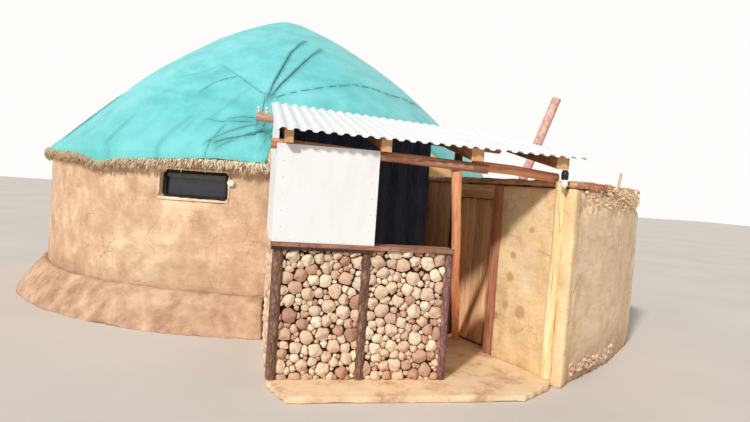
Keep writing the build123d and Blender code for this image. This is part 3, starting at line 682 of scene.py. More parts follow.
def room_move(point, normal):
    """Uneven wall whose foot is washed away and whose top is ragged."""
    lumps = 0.010 * wave(point, 2.1, 5.0) + 0.005 * wave(point, 7.0, 1.0) + 0.002 * wave(point, 19.0)
    if max(0.0, -normal.y * 0.8 + normal.x * 0.6) > 0.3:
        foot = max(0.0, 1 - (point.z + FLOOR_RISE) / 0.30)
        crumble = min(1.0, max(0.0, (point.z - 1.44 - 0.10 * wave(point, 3.0, 7.0)) / 0.10))
        lumps -= foot * (0.030 + 0.030 * wave(point, 5.0, 9.0))
        lumps -= crumble * max(0.0, 0.018 + 0.040 * wave(point, 13.0, 4.0))
    return normal * lumps


def porch_side(point):
    """Whether a place lies on the porch's side of the wall between porch and side room."""
    x, y = point.x - SIDE_X, point.y
    across = y * cos(SIDE_TURN) - x * sin(SIDE_TURN)
    along = x * cos(SIDE_TURN) + y * sin(SIDE_TURN)
    return across > -0.135 and along < 2.60


def room_walls_move(point, normal):
    if porch_side(point):
        return normal * (0.006 * wave(point, 2.6, 6.0) + 0.003 * wave(point, 9.0, 2.0) + 0.0015 * wave(point, 21.0))
    return room_move(point, normal)


def slab_move(point, normal):
    """Worn slab: its top only sinks, and its edges are knocked back."""
    if normal.z > 0.7:
        return Vector((0, 0, min(0.0, 0.004 * wave(point, 2.0) - 0.004)))
    return normal * (0.010 * wave(point, 3.0, 2.0) + 0.004 * wave(point, 13.0) - 0.006)


def clay_move(point, normal):
    lumps = 0.012 * wave(point, 3.0, 2.0) + 0.010 * wave(point, 9.0, 7.0) + 0.006 * wave(point, 22.0, 3.0)
    return normal * (lumps - 0.006)


YURT_WALLS = [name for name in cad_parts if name.startswith("yurt_wall_")]
ROOM_WALLS = ["side_room_front_wall", "side_room_back_wall", "porch_right_wall"]
# within the porch the round wall takes the near-black look, painted shade
skin("yurt_walls", YURT_WALLS, 0.042, yurt_wall_move, "wall", ("porch_shade_wall", in_porch))
skin("foot_bank", ["earth_bank"], 0.040, bank_move, "earth")
skin("side_room_walls", ROOM_WALLS, 0.026, room_walls_move, "room_wall", ("porch_wall", porch_side))
skin("porch_slab", ["porch_floor"], 0.030, slab_move, "concrete")


# ---- dome: sheet and straw ----
TARP_R, TARP_EAVE, TARP_RISE, TARP_A, TARP_B = 3.295, 1.805, 2.310, 1.30, 0.82
VIEW_RIGHT = (0.978, -0.208)
HEM_DROP = 0.042
# How far the sheet sags between the poles on the left, at shares of the radius
SAGS = ((0.30, 0.050), (0.45, 0.120), (0.60, 0.060), (0.75, 0.100), (0.88, 0.080), (0.98, 0.050))


def bell(value, middle, width):
    return exp(-((value - middle) / width) ** 2)


def step_up(value, low, high):
    share = min(1.0, max(0.0, (value - low) / (high - low)))
    return share * share * (3 - 2 * share)


def profile(share):
    return TARP_EAVE + TARP_RISE * max(0.0, 1 - share ** TARP_A) ** TARP_B


def yurt_point(turn, r, z):
    """Point at an angle from the yurt's front line, in the plan frame."""
    return Vector((YURT_X + sin(turn) * r, YURT_Y - cos(turn) * r, z))


def dome_point(share, turn, lift=0.0):
    """Point of the dome at a share of its radius and an angle from the front line, lifted square to it."""
    low, high = max(0.0, share - 0.004), min(1.0, share + 0.004)
    dr, dz = (high - low) * TARP_R, profile(high) - profile(low)
    length = hypot(dr, dz)
    side = share * (sin(turn) * VIEW_RIGHT[0] - cos(turn) * VIEW_RIGHT[1])
    left, right = step_up(-side, 0.15, 0.85), step_up(side, 0.30, 0.95)
    sag = left * sum(deep * bell(share, middle, 0.11) for middle, deep in SAGS) + right * 0.037 * bell(share, 0.8, 0.2)
    lift -= sag * (1.0 - 0.4 * step_up(share, 0.95, 1.0))
    return yurt_point(turn, share * TARP_R - dz / length * lift, profile(share) + dr / length * lift)


# Folds of the sheet: height, width of the sharp and of the soft side, how dark its shade is, width of its crease at
# either end (0 where it has none), whether the crease is a broken line of stitches, and the line over the plan
FOLDS = (
    (0.032, 0.022, 0.10, 0.40, 0.020, 0.006, False,
     ((-0.06, 2.31), (0.01, 2.56), (0.10, 2.85), (0.21, 3.23), (0.33, 3.51), (0.44, 3.71))),
    (0.030, 0.022, 0.10, 0.40, 0.016, 0.007, False,
     ((-0.03, 2.31), (0.08, 2.51), (0.21, 2.72), (0.41, 3.10), (0.54, 3.36), (0.64, 3.54))),
    (0.018, 0.020, 0.20, 0.20, 0.007, 0.008, True,
     ((0.01, 2.31), (0.18, 2.39), (0.39, 2.47), (0.60, 2.59), (0.81, 2.70), (1.02, 2.85), (1.25, 2.96), (1.53, 3.06),
      (1.85, 3.31), (2.10, 3.52))),
    (0.016, 0.016, 0.18, 0.15, 0.008, 0.006, False,
     ((-0.08, 2.31), (-0.18, 2.41), (-0.28, 2.53), (-0.42, 2.71), (-0.53, 2.85), (-0.64, 3.00))),
    (0.018, 0.020, 0.08, 0.45, 0.006, 0.003, False, ((-0.42, 2.69), (-0.59, 2.68), (-0.73, 2.63), (-0.85, 2.54))),
    (0.010, 0.020, 0.10, 0.30, 0.0, 0.0, False, ((-0.65, 3.00), (-0.80, 2.97), (-0.96, 2.97), (-1.14, 3.01))),
    (0.012, 0.022, 0.12, 0.28, 0.0, 0.0, False, ((-0.27, 2.46), (-0.45, 2.30), (-0.63, 2.14), (-0.80, 2.02))),
    (0.010, 0.022, 0.12, 0.25, 0.0, 0.0, False, ((-0.65, 2.33), (-0.81, 2.20), (-0.95, 2.06))),
    (0.030, 0.020, 0.06, 0.85, 0.020, 0.012, False, ((-0.18, 2.03), (-0.165, 1.95), (-0.17, 1.87))),
    (0.028, 0.020, 0.06, 0.85, 0.016, 0.010, False, ((-0.07, 2.04), (-0.08, 1.96), (-0.12, 1.87))),
    (0.020, 0.020, 0.08, 0.50, 0.003, 0.012, False, ((-0.60, 1.83), (-0.40, 1.84), (-0.19, 1.84), (-0.06, 1.86))),
    (0.016, 0.020, 0.05, 0.35, 0.012, 0.008, False, ((-0.10, 2.30), (-0.115, 2.18), (-0.13, 2.06))),
    (0.022, 0.018, 0.07, 0.50, 0.012, 0.004, False,
     ((-0.10, 1.93), (-0.24, 1.94), (-0.40, 1.91), (-0.57, 1.88), (-0.70, 1.85))),
    (0.018, 0.016, 0.06, 0.40, 0.009, 0.003, False, ((-0.09, 1.87), (-0.26, 1.85), (-0.42, 1.82), (-0.58, 1.79))),
    (0.018, 0.018, 0.07, 0.40, 0.012, 0.004, False, ((-0.10, 2.02), (-0.22, 2.04), (-0.34, 2.06), (-0.49, 2.05))),
    (0.018, 0.016, 0.07, 0.30, 0.009, 0.003, False, ((-0.12, 1.97), (-0.36, 2.00), (-0.54, 2.02), (-0.72, 2.10))),
    (0.018, 0.016, 0.05, 0.40, 0.008, 0.004, False, ((-0.04, 1.88), (-0.09, 1.77), (-0.14, 1.70))),
    (0.026, 0.022, 0.10, 0.30, 0.012, 0.010, False, ((-2.62, 3.55), (-2.44, 3.64), (-2.22, 3.72), (-2.02, 3.72))),
    (0.012, 0.020, 0.12, 0.30, 0.0, 0.0, False, ((-1.77, 2.33), (-1.84, 2.43), (-1.75, 2.52), (-1.60, 2.62))),
    (0.010, 0.018, 0.12, 0.30, 0.0, 0.0, False, ((-1.19, 1.97), (-1.21, 2.01), (-1.06, 2.10), (-0.89, 2.20))),
    (0.014, 0.016, 0.09, 0.30, 0.007, 0.003, False, ((-0.69, 1.78), (-0.63, 1.87), (-0.51, 1.98))),
    (0.008, 0.024, 0.16, 0.16, 0.0, 0.0, False, ((-0.50, 2.30), (-0.95, 2.52), (-1.40, 2.95), (-1.70, 3.40))),
    (0.008, 0.024, 0.16, 0.16, 0.0, 0.0, False, ((-0.75, 2.75), (-1.10, 3.05), (-1.30, 3.50))),
)
FOLD_OFFSET = 0.018  # how far a fold's crest lies beside its line
LINE_FADE = 0.15  # length over which a fold dies out past its ends
# tone of the welts: painted shade along the creases
CREASE_SHADE_TONE = 0.22


def line_distance(x, y, line):
    """Signed distance to a line of points, and how far the nearest place lies within its ends."""
    best, signed, ends = 1e9, 0.0, 0.0
    last = len(line) - 2
    for index, ((x0, y0), (x1, y1)) in enumerate(zip(line, line[1:])):
        dx, dy = x1 - x0, y1 - y0
        share = ((x - x0) * dx + (y - y0) * dy) / (dx * dx + dy * dy)
        clipped = min(1.0, max(0.0, share))
        gap = hypot(x - x0 - dx * clipped, y - y0 - dy * clipped)
        if gap < best:
            best = gap
            signed = gap if dx * (y - y0) - dy * (x - x0) > 0 else -gap
            past = (index == 0 and share < 0) or (index == last and share > 1)
            ends = max(0.0, 1 - gap / LINE_FADE) if past else 1.0
    return signed, ends


def fold_height(x, y):
    """Height of the folds at a place, and the painted shade of their creases there."""
    total, dark = 0.0, 0.0
    for height, sharp, fade, crease, _, _, _, line in FOLDS:
        gap, ends = line_distance(x, y, line)
        if abs(gap) < 4 * fade:
            signed = gap - FOLD_OFFSET
            total += height * ends * (exp(-signed / fade) if signed > 0 else exp(-(signed / sharp) ** 2))
            broken = 0.75 + 0.5 * ripple(x * 9.0, y * 9.0, height * 90)
            # painted shade of the crease, darkest on the fold's line
            dark = max(dark, crease * broken * ends * exp(-(gap / 0.024) ** 2))
    return total, min(1.0, max(0.0, dark))


def sheet_lift(share, turn):
    """How far the sheet stands off the dome, and its tone, which carries the painted shade of the folds' creases."""
    x, y = YURT_X + sin(turn) * share * TARP_R, YURT_Y - cos(turn) * share * TARP_R
    lift = 0.012 + 0.010 * ripple(x * 1.1, y * 1.1) + 0.005 * ripple(x * 3.7, y * 3.7)
    wrinkle = ripple(turn * 9.0, share * 1.5, 4.0) + 0.5 * ripple(turn * 23.0, share * 2.5, 9.0)
    lift += step_up(share, 0.45, 1.0) * 0.010 * wrinkle
    rise, dark = fold_height(x, y)
    return lift + rise, 1.0 - dark


def hem_level(turn):
    """How far the sheet's hem lies above or below its mean level."""
    angle = degrees(turn)
    low = 0.020 * ripple(turn * 3.4, 1.0) + 0.010 * ripple(turn * 11.0, 1.0)
    return low + 0.050 * bell(angle, -69, 9) - 0.085 * bell(angle, -40, 6) - 0.030 * bell(angle, -29, 6) - HEM_DROP


def reach(turn):
    """Share of the dome's radius that the sheet covers: it is cut back where the porch roof meets it."""
    angle = degrees(turn)
    return 1.0 - 0.075 * step_up(angle, -4.7, -3.5) * (1 - step_up(angle, 34, 42))


def sheet_columns():
    """Angles of the sheet's columns, close in front and wide behind."""
    turns, angle = [], -180.0
    while angle < 180.0:
        turns.append(radians(angle))
        angle += 0.5 if -70 <= angle < 62 else (1.0 if -110 <= angle < 110 else 3.5)
    return turns


def crease_spots(line):
    """Close, smoothed places along a fold's line."""
    spots = []
    for (x0, y0), (x1, y1) in zip(line, line[1:]):
        steps = max(2, int(hypot(x1 - x0, y1 - y0) / 0.022))
        spots += [(x0 + (x1 - x0) * k / steps, y0 + (y1 - y0) * k / steps) for k in range(steps)]
    for _ in range(3):
        inner = [
            ((a[0] + b[0] * 2 + c[0]) / 4, (a[1] + b[1] * 2 + c[1]) / 4)
            for a, b, c in zip(spots, spots[1:], spots[2:])]
        spots = [spots[0]] + inner + [spots[-1]]
    return spots


def crease_runs(count, number, broken):
    """First and last spot of each run of a crease: one run, or a run for each stitch."""
    runs, index = [], 0
    while index < count - 2:
        step = 4 + int(5 * (0.5 + ripple(index * 0.7, number))) if broken else count
        runs.append((index, min(count - 1, index + step)))
        index += step + 2
    return runs


def add_creases(points, faces, tones):
    """Thin raised welts of cloth along the folds, added to the sheet, with painted crease shade in their tone."""
    def on_sheet(x, y, over):
        share = hypot(x - YURT_X, y - YURT_Y) / TARP_R
        turn = atan2(x - YURT_X, YURT_Y - y)
        return dome_point(share, turn, sheet_lift(share, turn)[0] + over) + ORIGIN

    for number, (_, _, _, _, first, last, broken, line) in enumerate(FOLDS):
        if not first:
            continue
        spots = crease_spots(line)
        count = len(spots)
        for start, end in crease_runs(count, number, broken):
            base = len(points)
            for k in range(start, end + 1):
                inner = (k - start) / max(1, end - start)
                wide = (first + (last - first) * k / (count - 1)) * (0.75 + 0.5 * ripple(k * 0.6, number * 3.0, 1.0))
                wide *= min(1.0, 0.25 + 4 * min(inner, 1 - inner))
                before, after = spots[max(0, k - 1)], spots[min(count - 1, k + 1)]
                dx, dy = after[0] - before[0], after[1] - before[1]
                size = hypot(dx, dy)
                ax, ay = -dy / size * wide, dx / size * wide
                x, y = spots[k]
                for side, over in ((-1.0, -0.003), (-0.5, 0.004), (0.5, 0.004), (1.0, -0.003)):
                    points.append(on_sheet(x + ax * side, y + ay * side, over))
                    tones.append(CREASE_SHADE_TONE)
                if k < end:
                    a = base + (k - start) * 4
                    for side in range(4):
                        b = a + (side + 1) % 4
                        faces.append((a + side, b, b + 4, a + side + 4))
            top = base + (end - start) * 4
            faces += [(base, base + 1, base + 2, base + 3), (top + 3, top + 2, top + 1, top)]


SHEET_ROWS, SHEET_THICK = 108, 0.004


def make_sheet():
    """The sheet over the dome, closed between its upper and lower face, and its area."""
    turns = sheet_columns()
    count = len(turns)
    points, faces, tones = [], [], []
    lifts = {}
    for side in (0, 1):
        for row in range(SHEET_ROWS + 1):
            for column, turn in enumerate(turns):
                share = max(0.004, sin(radians(90.0 * row / SHEET_ROWS))) * reach(turn)
                if side == 0:
                    lifts[row, column] = sheet_lift(share, turn)
                lift, tone = lifts[row, column]
                tones.append(tone)
                point = dome_point(share, turn, lift - side * SHEET_THICK)
                if row == SHEET_ROWS:
                    point.z += hem_level(turn)
                points.append(point + ORIGIN)
    layer = (SHEET_ROWS + 1) * count
    for side in (0, 1):
        for row in range(SHEET_ROWS):
            for column in range(count):
                a = side * layer + row * count + column
                b = side * layer + row * count + (column + 1) % count
                quad = (a, b, b + count, a + count)
                faces.append(quad if side == 0 else tuple(reversed(quad)))
        faces.append(tuple(side * layer + column for column in range(count)))
    for column in range(count):
        a, b = SHEET_ROWS * count + column, SHEET_ROWS * count + (column + 1) % count
        faces.append((a, b, b + layer, a + layer))
    add_creases(points, faces, tones)
    mesh = new_mesh("dome_sheet", points, faces, ["tarp"], tones)
    area = sum(polygon.area for polygon in list(mesh.polygons)[:SHEET_ROWS * count])
    return add_object("dome_sheet", mesh, BUILDING, ["tarp_cover"], 60.0), area


dome_sheet, sheet_area = make_sheet()

WALL_R, WALL_TOP = 3.230, 1.735  # outside of the round wall and its top, for the straw's seat
THATCH_IN_R, THATCH_IN_RISE, THATCH_IN_A, THATCH_IN_B = 3.010, 2.230, 1.45, 0.78
STRAW_COLUMNS, STRAW_ROWS = 192, 26
# Rolled edge of the straw below the eave: distance out from the dome, height and tone of each ring
# the tones fall towards the bottom ring: painted shade under the eave
STRAW_EDGE = (
    (-0.014, 1.768, 0.60), (0.002, 1.750, 0.55), (0.006, 1.732, 0.35), (0.000, 1.714, 0.10), (-0.014, 1.700, 0.0))


def make_straw():
    """Straw body under the sheet, closed, with a lumpy rolled edge below the eave."""
    piece = Piece("straw_dome")
    turns = [2 * pi * index / STRAW_COLUMNS for index in range(STRAW_COLUMNS)]
    rings, grains = [], []

    def ring(place):
        rings.append([place(turn) + ORIGIN for turn in turns])
        grains.append([Vector((turn * 3.2, 0.0, len(rings) * 0.04)) for turn in turns])

    def edge(turn, out, z):
        bulge = 0.010 * ripple(turn * 34.0, z * 12.0) + 0.008 * ripple(turn * 90.0, z * 20, 3.0)
        base = dome_point(1.0, turn, out + bulge)
        drop = 0.010 * ripple(turn * 15.0, 5.0) + hem_level(turn) + HEM_DROP
        radius = hypot(base.x - YURT_X, base.y - YURT_Y)
        return yurt_point(turn, max(radius, WALL_R + 0.008), z + drop)

    def seat(turn, r, z):
        return yurt_point(turn, r, z + min(0.0, hem_level(turn) + HEM_DROP) * (WALL_TOP - z) / 0.023)

    for row in range(STRAW_ROWS):
        share = max(0.01, sin(radians(90.0 * row / STRAW_ROWS)))
        ring(lambda turn: dome_point(share, turn, -0.016))
    for out, z, _ in STRAW_EDGE:
        ring(lambda turn: edge(turn, out, z))
    for r, z in ((WALL_R, 1.712), (WALL_R - 0.004, WALL_TOP)):
        ring(lambda turn: seat(turn, r, z))
    for row in range(8, -1, -1):
        share = max(0.03, sin(radians(90.0 * row / 8)))
        z = WALL_TOP + THATCH_IN_RISE * max(0.0, 1 - share ** THATCH_IN_A) ** THATCH_IN_B
        ring(lambda turn: yurt_point(turn, share * THATCH_IN_R, z))
    piece.loft(rings, grains, 0.45)
    # the rolled edge's rings take those tones, darker lower down as painted shade
    for row, (_, _, tone) in enumerate(STRAW_EDGE, STRAW_ROWS):
        piece.tones[row * STRAW_COLUMNS:(row + 1) * STRAW_COLUMNS] = [tone] * STRAW_COLUMNS
    piece.make(["straw"], "straw", replaces=["straw_thatch_lower", "straw_thatch_upper"], sharp=60.0)


make_straw()

FRONT_STRANDS, BACK_STRANDS, CUT_STRANDS = 7600, 2600, 300
TAPERED = ((0.0, 1.0), (0.6, 0.9), (1.0, 0.25))


def make_fringe():
    """Loose straw ends that stick out all round below the sheet's hem, and where it is cut back at the porch."""
    piece = Piece("straw_fringe")
    rng = random.Random(11)
    for index in range(FRONT_STRANDS + BACK_STRANDS):
        turn = radians(rng.uniform(-85, 75) if index < FRONT_STRANDS else rng.uniform(75, 275))
        base = dome_point(1.0, turn, rng.uniform(0.008, 0.034))
        level = rng.random()
        start = Vector((base.x, base.y, 1.742 + 0.072 * level + hem_level(turn)))
        out = Vector((sin(turn), -cos(turn), 0))
        side = Vector((cos(turn), sin(turn), 0))
        tilt = rng.uniform(0.05, 0.75)
        ahead = (out * tilt + side * rng.uniform(-0.35, 0.35) - UP * (1.05 - tilt)).normalized()
        length = rng.uniform(0.024, 0.082) * (1.0 - 0.42 * tilt)
        wide = rng.uniform(0.0026, 0.0054)
        across = ahead.cross(out).normalized() if abs(ahead.dot(out)) < 0.99 else side
        # lower strands are more often dark: painted shade under the hem; the spread in each group is the straw's own
        # tone
        shaded_share = 0.10 + 0.50 * (1 - level) ** 1.7

        def tone():
            return rng.uniform(0.0, 0.3) if rng.random() < shaded_share else rng.uniform(0.7, 1.0)
        strand(piece, start + ORIGIN, ahead, across, length, wide, TAPERED, rng, tone, 0.012)
    for _ in range(CUT_STRANDS):
        turn = radians(rng.uniform(-4.6, -3.0))
        start = dome_point(min(1.0, reach(turn) + rng.uniform(-0.002, 0.012)), turn, rng.uniform(0.0, 0.014)) + ORIGIN
        ahead = Vector((cos(turn) * rng.uniform(0.2, 0.9), -0.5, -rng.uniform(0.2, 0.9))).normalized()
        across = ahead.orthogonal().normalized()
        length, wide = rng.uniform(0.030, 0.080), rng.uniform(0.0020, 0.0042)
        strand(piece, start, ahead, across, length, wide, TAPERED, rng, lambda: rng.uniform(0.30, 1.0))
    piece.make(["straw"], "straw", sharp=60.0)


make_fringe()


# ---- cobble walls ----
COBBLE_TOP = 1.080
STONE_SMALL, STONE_LARGE = 0.014, 0.064
JOINT_EDGE = 0.006  # how far stones stand past the panel's edge
# Rings of a stone: share of its outline, and its lift over the wall's face, in metres where below 0 and else as a
# share of the stone's bulge
STONE_RINGS = ((0.96, -0.034), (1.0, 0.0), (0.97, 0.36), (0.88, 0.66), (0.72, 0.86), (0.46, 0.97), (0.18, 1.0))


def stones_between(width, height, rng):
    """Centres and sizes of stones packed over a rectangle, large ones first."""
    placed = []
    size, tries = STONE_LARGE, 0
    while size > STONE_SMALL:
        x, y = rng.uniform(0.0, width), rng.uniform(0.0, height)
        r = size * rng.uniform(0.75, 1.0)
        if all(hypot(x - px, y - py) > 0.90 * (r + pr) for px, py, pr in placed):
            placed.append((x, y, r))
        tries += 1
        if tries % (30 if size > 0.055 else 110) == 0:
            size *= 0.93
    return placed


def cell_radius(x, y, r, turn, near, width, height):
    """Distance from a stone's centre to the edge of its cell in one direction, with rounded corners."""
    cx, cy = cos(turn), sin(turn)
    total = 0.0
    power = 12
    for px, py, pr in near:
        dx, dy = px - x, py - y
        gap = hypot(dx, dy)
        facing = (dx * cx + dy * cy) / gap
        if facing > 0.05:
            room = (gap * gap + r * r - pr * pr) / (2 * gap) / facing
            total += (1 / max(room, 0.004)) ** power
    edges = (
        (cx, width + JOINT_EDGE - x), (-cx, x + JOINT_EDGE), (cy, height + JOINT_EDGE - y), (-cy, y + JOINT_EDGE))
    for facing, room in edges:
        if facing > 0.05:
            total += (facing / max(room, 0.004)) ** power
    total += (1 / (r * 1.40)) ** power
    return total ** (-1 / power)


def cobble_face(piece, origin, along, out, width, rng, sides=16, depth=0.048):
    """Face of packed stones, from its foot at origin, width along and up to the wall's top."""
    placed = stones_between(width, COBBLE_TOP, rng)
    turns = [2 * pi * side / sides for side in range(sides)]
    for index, (x, y, r) in enumerate(placed):
        near = [
            other for k, other in enumerate(placed)
            if k != index and hypot(other[0] - x, other[1] - y) < r + other[2] + 0.10]
        seed = rng.uniform(0, 90)
        radii = []
        for turn in turns:
            room = cell_radius(x, y, r, turn, near, width, COBBLE_TOP) * 0.965
            room *= 1 + 0.26 * ripple(cos(turn) * 1.5 + seed, sin(turn) * 1.5)
            radii.append(min(room, 0.095))
        bulge = depth * rng.uniform(0.50, 1.0) * min(1.0, r / 0.040)
        tipx, tipy = rng.uniform(-0.6, 0.6), rng.uniform(-0.6, 0.6)
        facets = [(rng.uniform(0, 2 * pi), rng.uniform(0.9, 1.9), rng.uniform(0.55, 0.95)) for _ in range(4)]
        rings = []
        for share, lift in STONE_RINGS:
            ring = []
            for turn, radius in zip(turns, radii):
                px, py = x + cos(turn) * radius * share, y + sin(turn) * radius * share
                raised = lift
                if lift > 0:
                    raised = lift * (1 + 0.4 * (tipx * cos(turn) + tipy * sin(turn)) * share)
                    for facing, steep, level in facets:
                        raised = min(raised, level + steep * (0.45 - share * cos(turn - facing)))
                    shake = ripple(px * 26, py * 26, seed) * 0.18 + ripple(px * 80, py * 80, seed) * 0.08
                    raised = (max(raised, 0.10) + shake) * bulge
                ring.append(origin + along * px + UP * py + out * raised)
            rings.append(ring)
        piece.loft(rings, None, rng.random())


def block(piece, low, high):
    """Plain mortar box between two corners, behind the stones, near-black as painted shade deep in the joints."""
    corners = ((low.x, low.y), (high.x, low.y), (high.x, high.y), (low.x, high.y))
    piece.loft([[Vector((x, y, z)) for x, y in corners] for z in (low.z, high.z)], kind=1)


def make_front_cobbles():
    piece = Piece("cobble_front")
    rng = random.Random(21)
    for x0, x1 in ((0.090, 0.730), (0.806, 1.448)):
        block(piece, at(x0, 0.042), at(x1, 0.142, COBBLE_TOP))
        cobble_face(piece, at(x0, 0.026), RIGHT, -BACK, x1 - x0, rng)
        cobble_face(piece, at(x1, 0.142), -RIGHT, BACK, x1 - x0, rng, 11, 0.030)
    piece.make(["stone", "mortar"], "cobble", replaces=["cobble_wall_front"], sharp=60.0)


def make_side_cobbles():
    piece = Piece("cobble_side")
    rng = random.Random(22)
    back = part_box("cobble_wall_side")[1][1] - ORIGIN.y - 0.01
    length = back - 0.090
    block(piece, at(0.026, 0.090), at(0.144, back, COBBLE_TOP))
    cobble_face(piece, at(0.026, back), -BACK, -RIGHT, length, rng, 11, 0.030)
    cobble_face(piece, at(0.144, 0.175), BACK, RIGHT, length - 0.085, rng, 9, 0.024)
    piece.make(["stone", "mortar"], "cobble", replaces=["cobble_wall_side"], sharp=60.0)


make_front_cobbles()
make_side_cobbles()

# ---- logs and beams ----
LOG_Y = 0.032
BEAM_D = 0.084
BEAM_X0, BEAM_X1 = -0.060, 1.770
BEAM_LEFT_Z = (1.887, 1.815)
BEAM_RIGHT_Z = (1.842, 1.790)
REAR_Y = 1.560
RAFTER_H = 0.105
REAR_DROP = 0.043  # rear beam's axis below the rafters
ROOF_X0, ROOF_X1, ROOF_Y0, ROOF_Y1 = -0.040, 2.575, -0.175, 1.700
ROOF_WAVES = 27
ROOF_PITCH = (ROOF_X1 - ROOF_X0) / ROOF_WAVES


def beam_level(x):
    """Height of the left front beam's axis."""
    return BEAM_LEFT_Z[0] + (BEAM_LEFT_Z[1] - BEAM_LEFT_Z[0]) * (x - BEAM_X0) / (BEAM_X1 - BEAM_X0)


def roof_level(x, y):
    """Height of the porch roof, a sheet that twists from its front to its back edge."""
    across = (x - ROOF_X0) / (ROOF_X1 - ROOF_X0)
    back = (y - ROOF_Y0) / (ROOF_Y1 - ROOF_Y0)
    front_z = 1.985 - 0.037 * across
    back_z = 2.415 - 0.130 * across
    return front_z + (back_z - front_z) * back


def under_rafters(x, drop):
    """Height at the rear beam, a drop below the rafters."""
    return roof_level(x, REAR_Y) - RAFTER_H - drop


def log_piece(name, looks, slot, node, *logs):
    """Piece of logs, each given as start, end, diameter, seed and further settings of log."""
    piece = Piece(name)
    for start, end, diameter, seed, more in logs:
        log(piece, start, end, diameter, seed, **more)
    piece.make(looks, slot, replaces=[node])


def make_logs():
    log_piece(
        "porch_posts", ["grey_log", "cut", "purple_log"], "timber", "porch_logs",
        *((at(x, LOG_Y), at(x, LOG_Y, beam_level(x) - 0.030), diameter, seed, dict(rough=0.04, bend=0.002, taper=0.02))
          for x, diameter, seed in ((0.050, 0.090, 1.0), (0.768, 0.083, 2.0))),
        (at(1.482, LOG_Y), at(1.482, LOG_Y, COBBLE_TOP), 0.078, 3.0, dict(rough=0.08, bend=0.006, kind=2)),
        (at(0.240, REAR_Y), at(0.240, REAR_Y, under_rafters(0.240, 0.075)), 0.084, 4.0, {}))
    log_piece(
        "front_beam_left_log", ["beam", "cut"], "timber", "front_beams",
        (at(BEAM_X0, LOG_Y, BEAM_LEFT_Z[0]), at(BEAM_X1, LOG_Y, BEAM_LEFT_Z[1]), BEAM_D, 5.0,
         dict(rough=0.06, bend=0.008)))
    right_y = LOG_Y + 0.079
    log_piece(
        "front_beam_right_log", ["orange_log", "cut"], "orange_log", "front_beams",
        (at(1.660, right_y, BEAM_RIGHT_Z[0]), at(2.470, right_y, BEAM_RIGHT_Z[1]), BEAM_D, 6.0,
         dict(rough=0.06, bend=0.010)))
    log_piece(
        "rear_beam_log", ["pale_beam", "cut"], "timber", "rear_beam",
        (*(at(x, REAR_Y, under_rafters(x, REAR_DROP)) for x in (-0.190, 2.540)), 0.090, 7.0,
         dict(rough=0.06, bend=0.006)))
    foot = beside(POST_BESIDE, -0.062)
    log_piece(
        "door_post_log", ["brown_log", "cut"], "timber", "door_post",
        (foot, foot + UP * under_rafters(foot.x - ORIGIN.x, 0.070), POST_D, 8.0, {}))
    foot = beside(0.050, 0.006)
    log_piece(
        "corner_log", ["yellow_log", "cut"], "yellow_log", "corner_post",
        (foot, foot + UP * (BEAM_RIGHT_Z[1] - 0.030), 0.096, 9.0, dict(tone=0.62, rough=0.07, bend=0.008)))
    # tone 0.95 makes this log paler than the beam of the same wood: painted sunlight
    log_piece(
        "leaning_log", ["orange_log", "cut"], "orange_log", "leaning_prop",
        (beside(1.430, -0.052, -0.030), at(1.500, LOG_Y + 0.014, beam_level(1.500) - 0.036), 0.082, 10.0,
         dict(tone=0.95, rough=0.06, bend=0.010, taper=-0.05)))


def make_rafters():
    piece = Piece("rafter_timbers")
    y0, y1 = ROOF_Y0 + 0.070, ROOF_Y1 - 0.070
    for index, (number, width) in enumerate(((1, 0.070), (9, 0.084), (17, 0.108), (25, 0.112))):
        x = ROOF_X0 + (number + 0.15) * ROOF_PITCH
        start, end = (at(x - width / 2, y, roof_level(x, y) - RAFTER_H - 0.001) for y in (y0, y1))
        plank(
            piece, start, RIGHT * width, UP * RAFTER_H, end - start, 20.0 + index, 0.45 + 0.1 * (index % 3),
            rough=0.003)
    piece.make(["rafter", "cut"], "timber", replaces=["rafters"])


# ---- door, boards beside it ----
POST_BESIDE, POST_D = 1.622, 0.092  # door post, along the wall between porch and side room
DOOR_X0, DOOR_X1 = 0.922, POST_BESIDE - POST_D / 2 - 0.007
DOOR_FACE, DOOR_BACK = -0.115, -0.145
HINGE_X, HINGE_OUT = 0.926, -0.157
HINGE_HEIGHTS = (0.350, 1.250)
STRAP_LONG, STRAP_WIDE, STRAP_THICK = 0.400, 0.044, 0.006


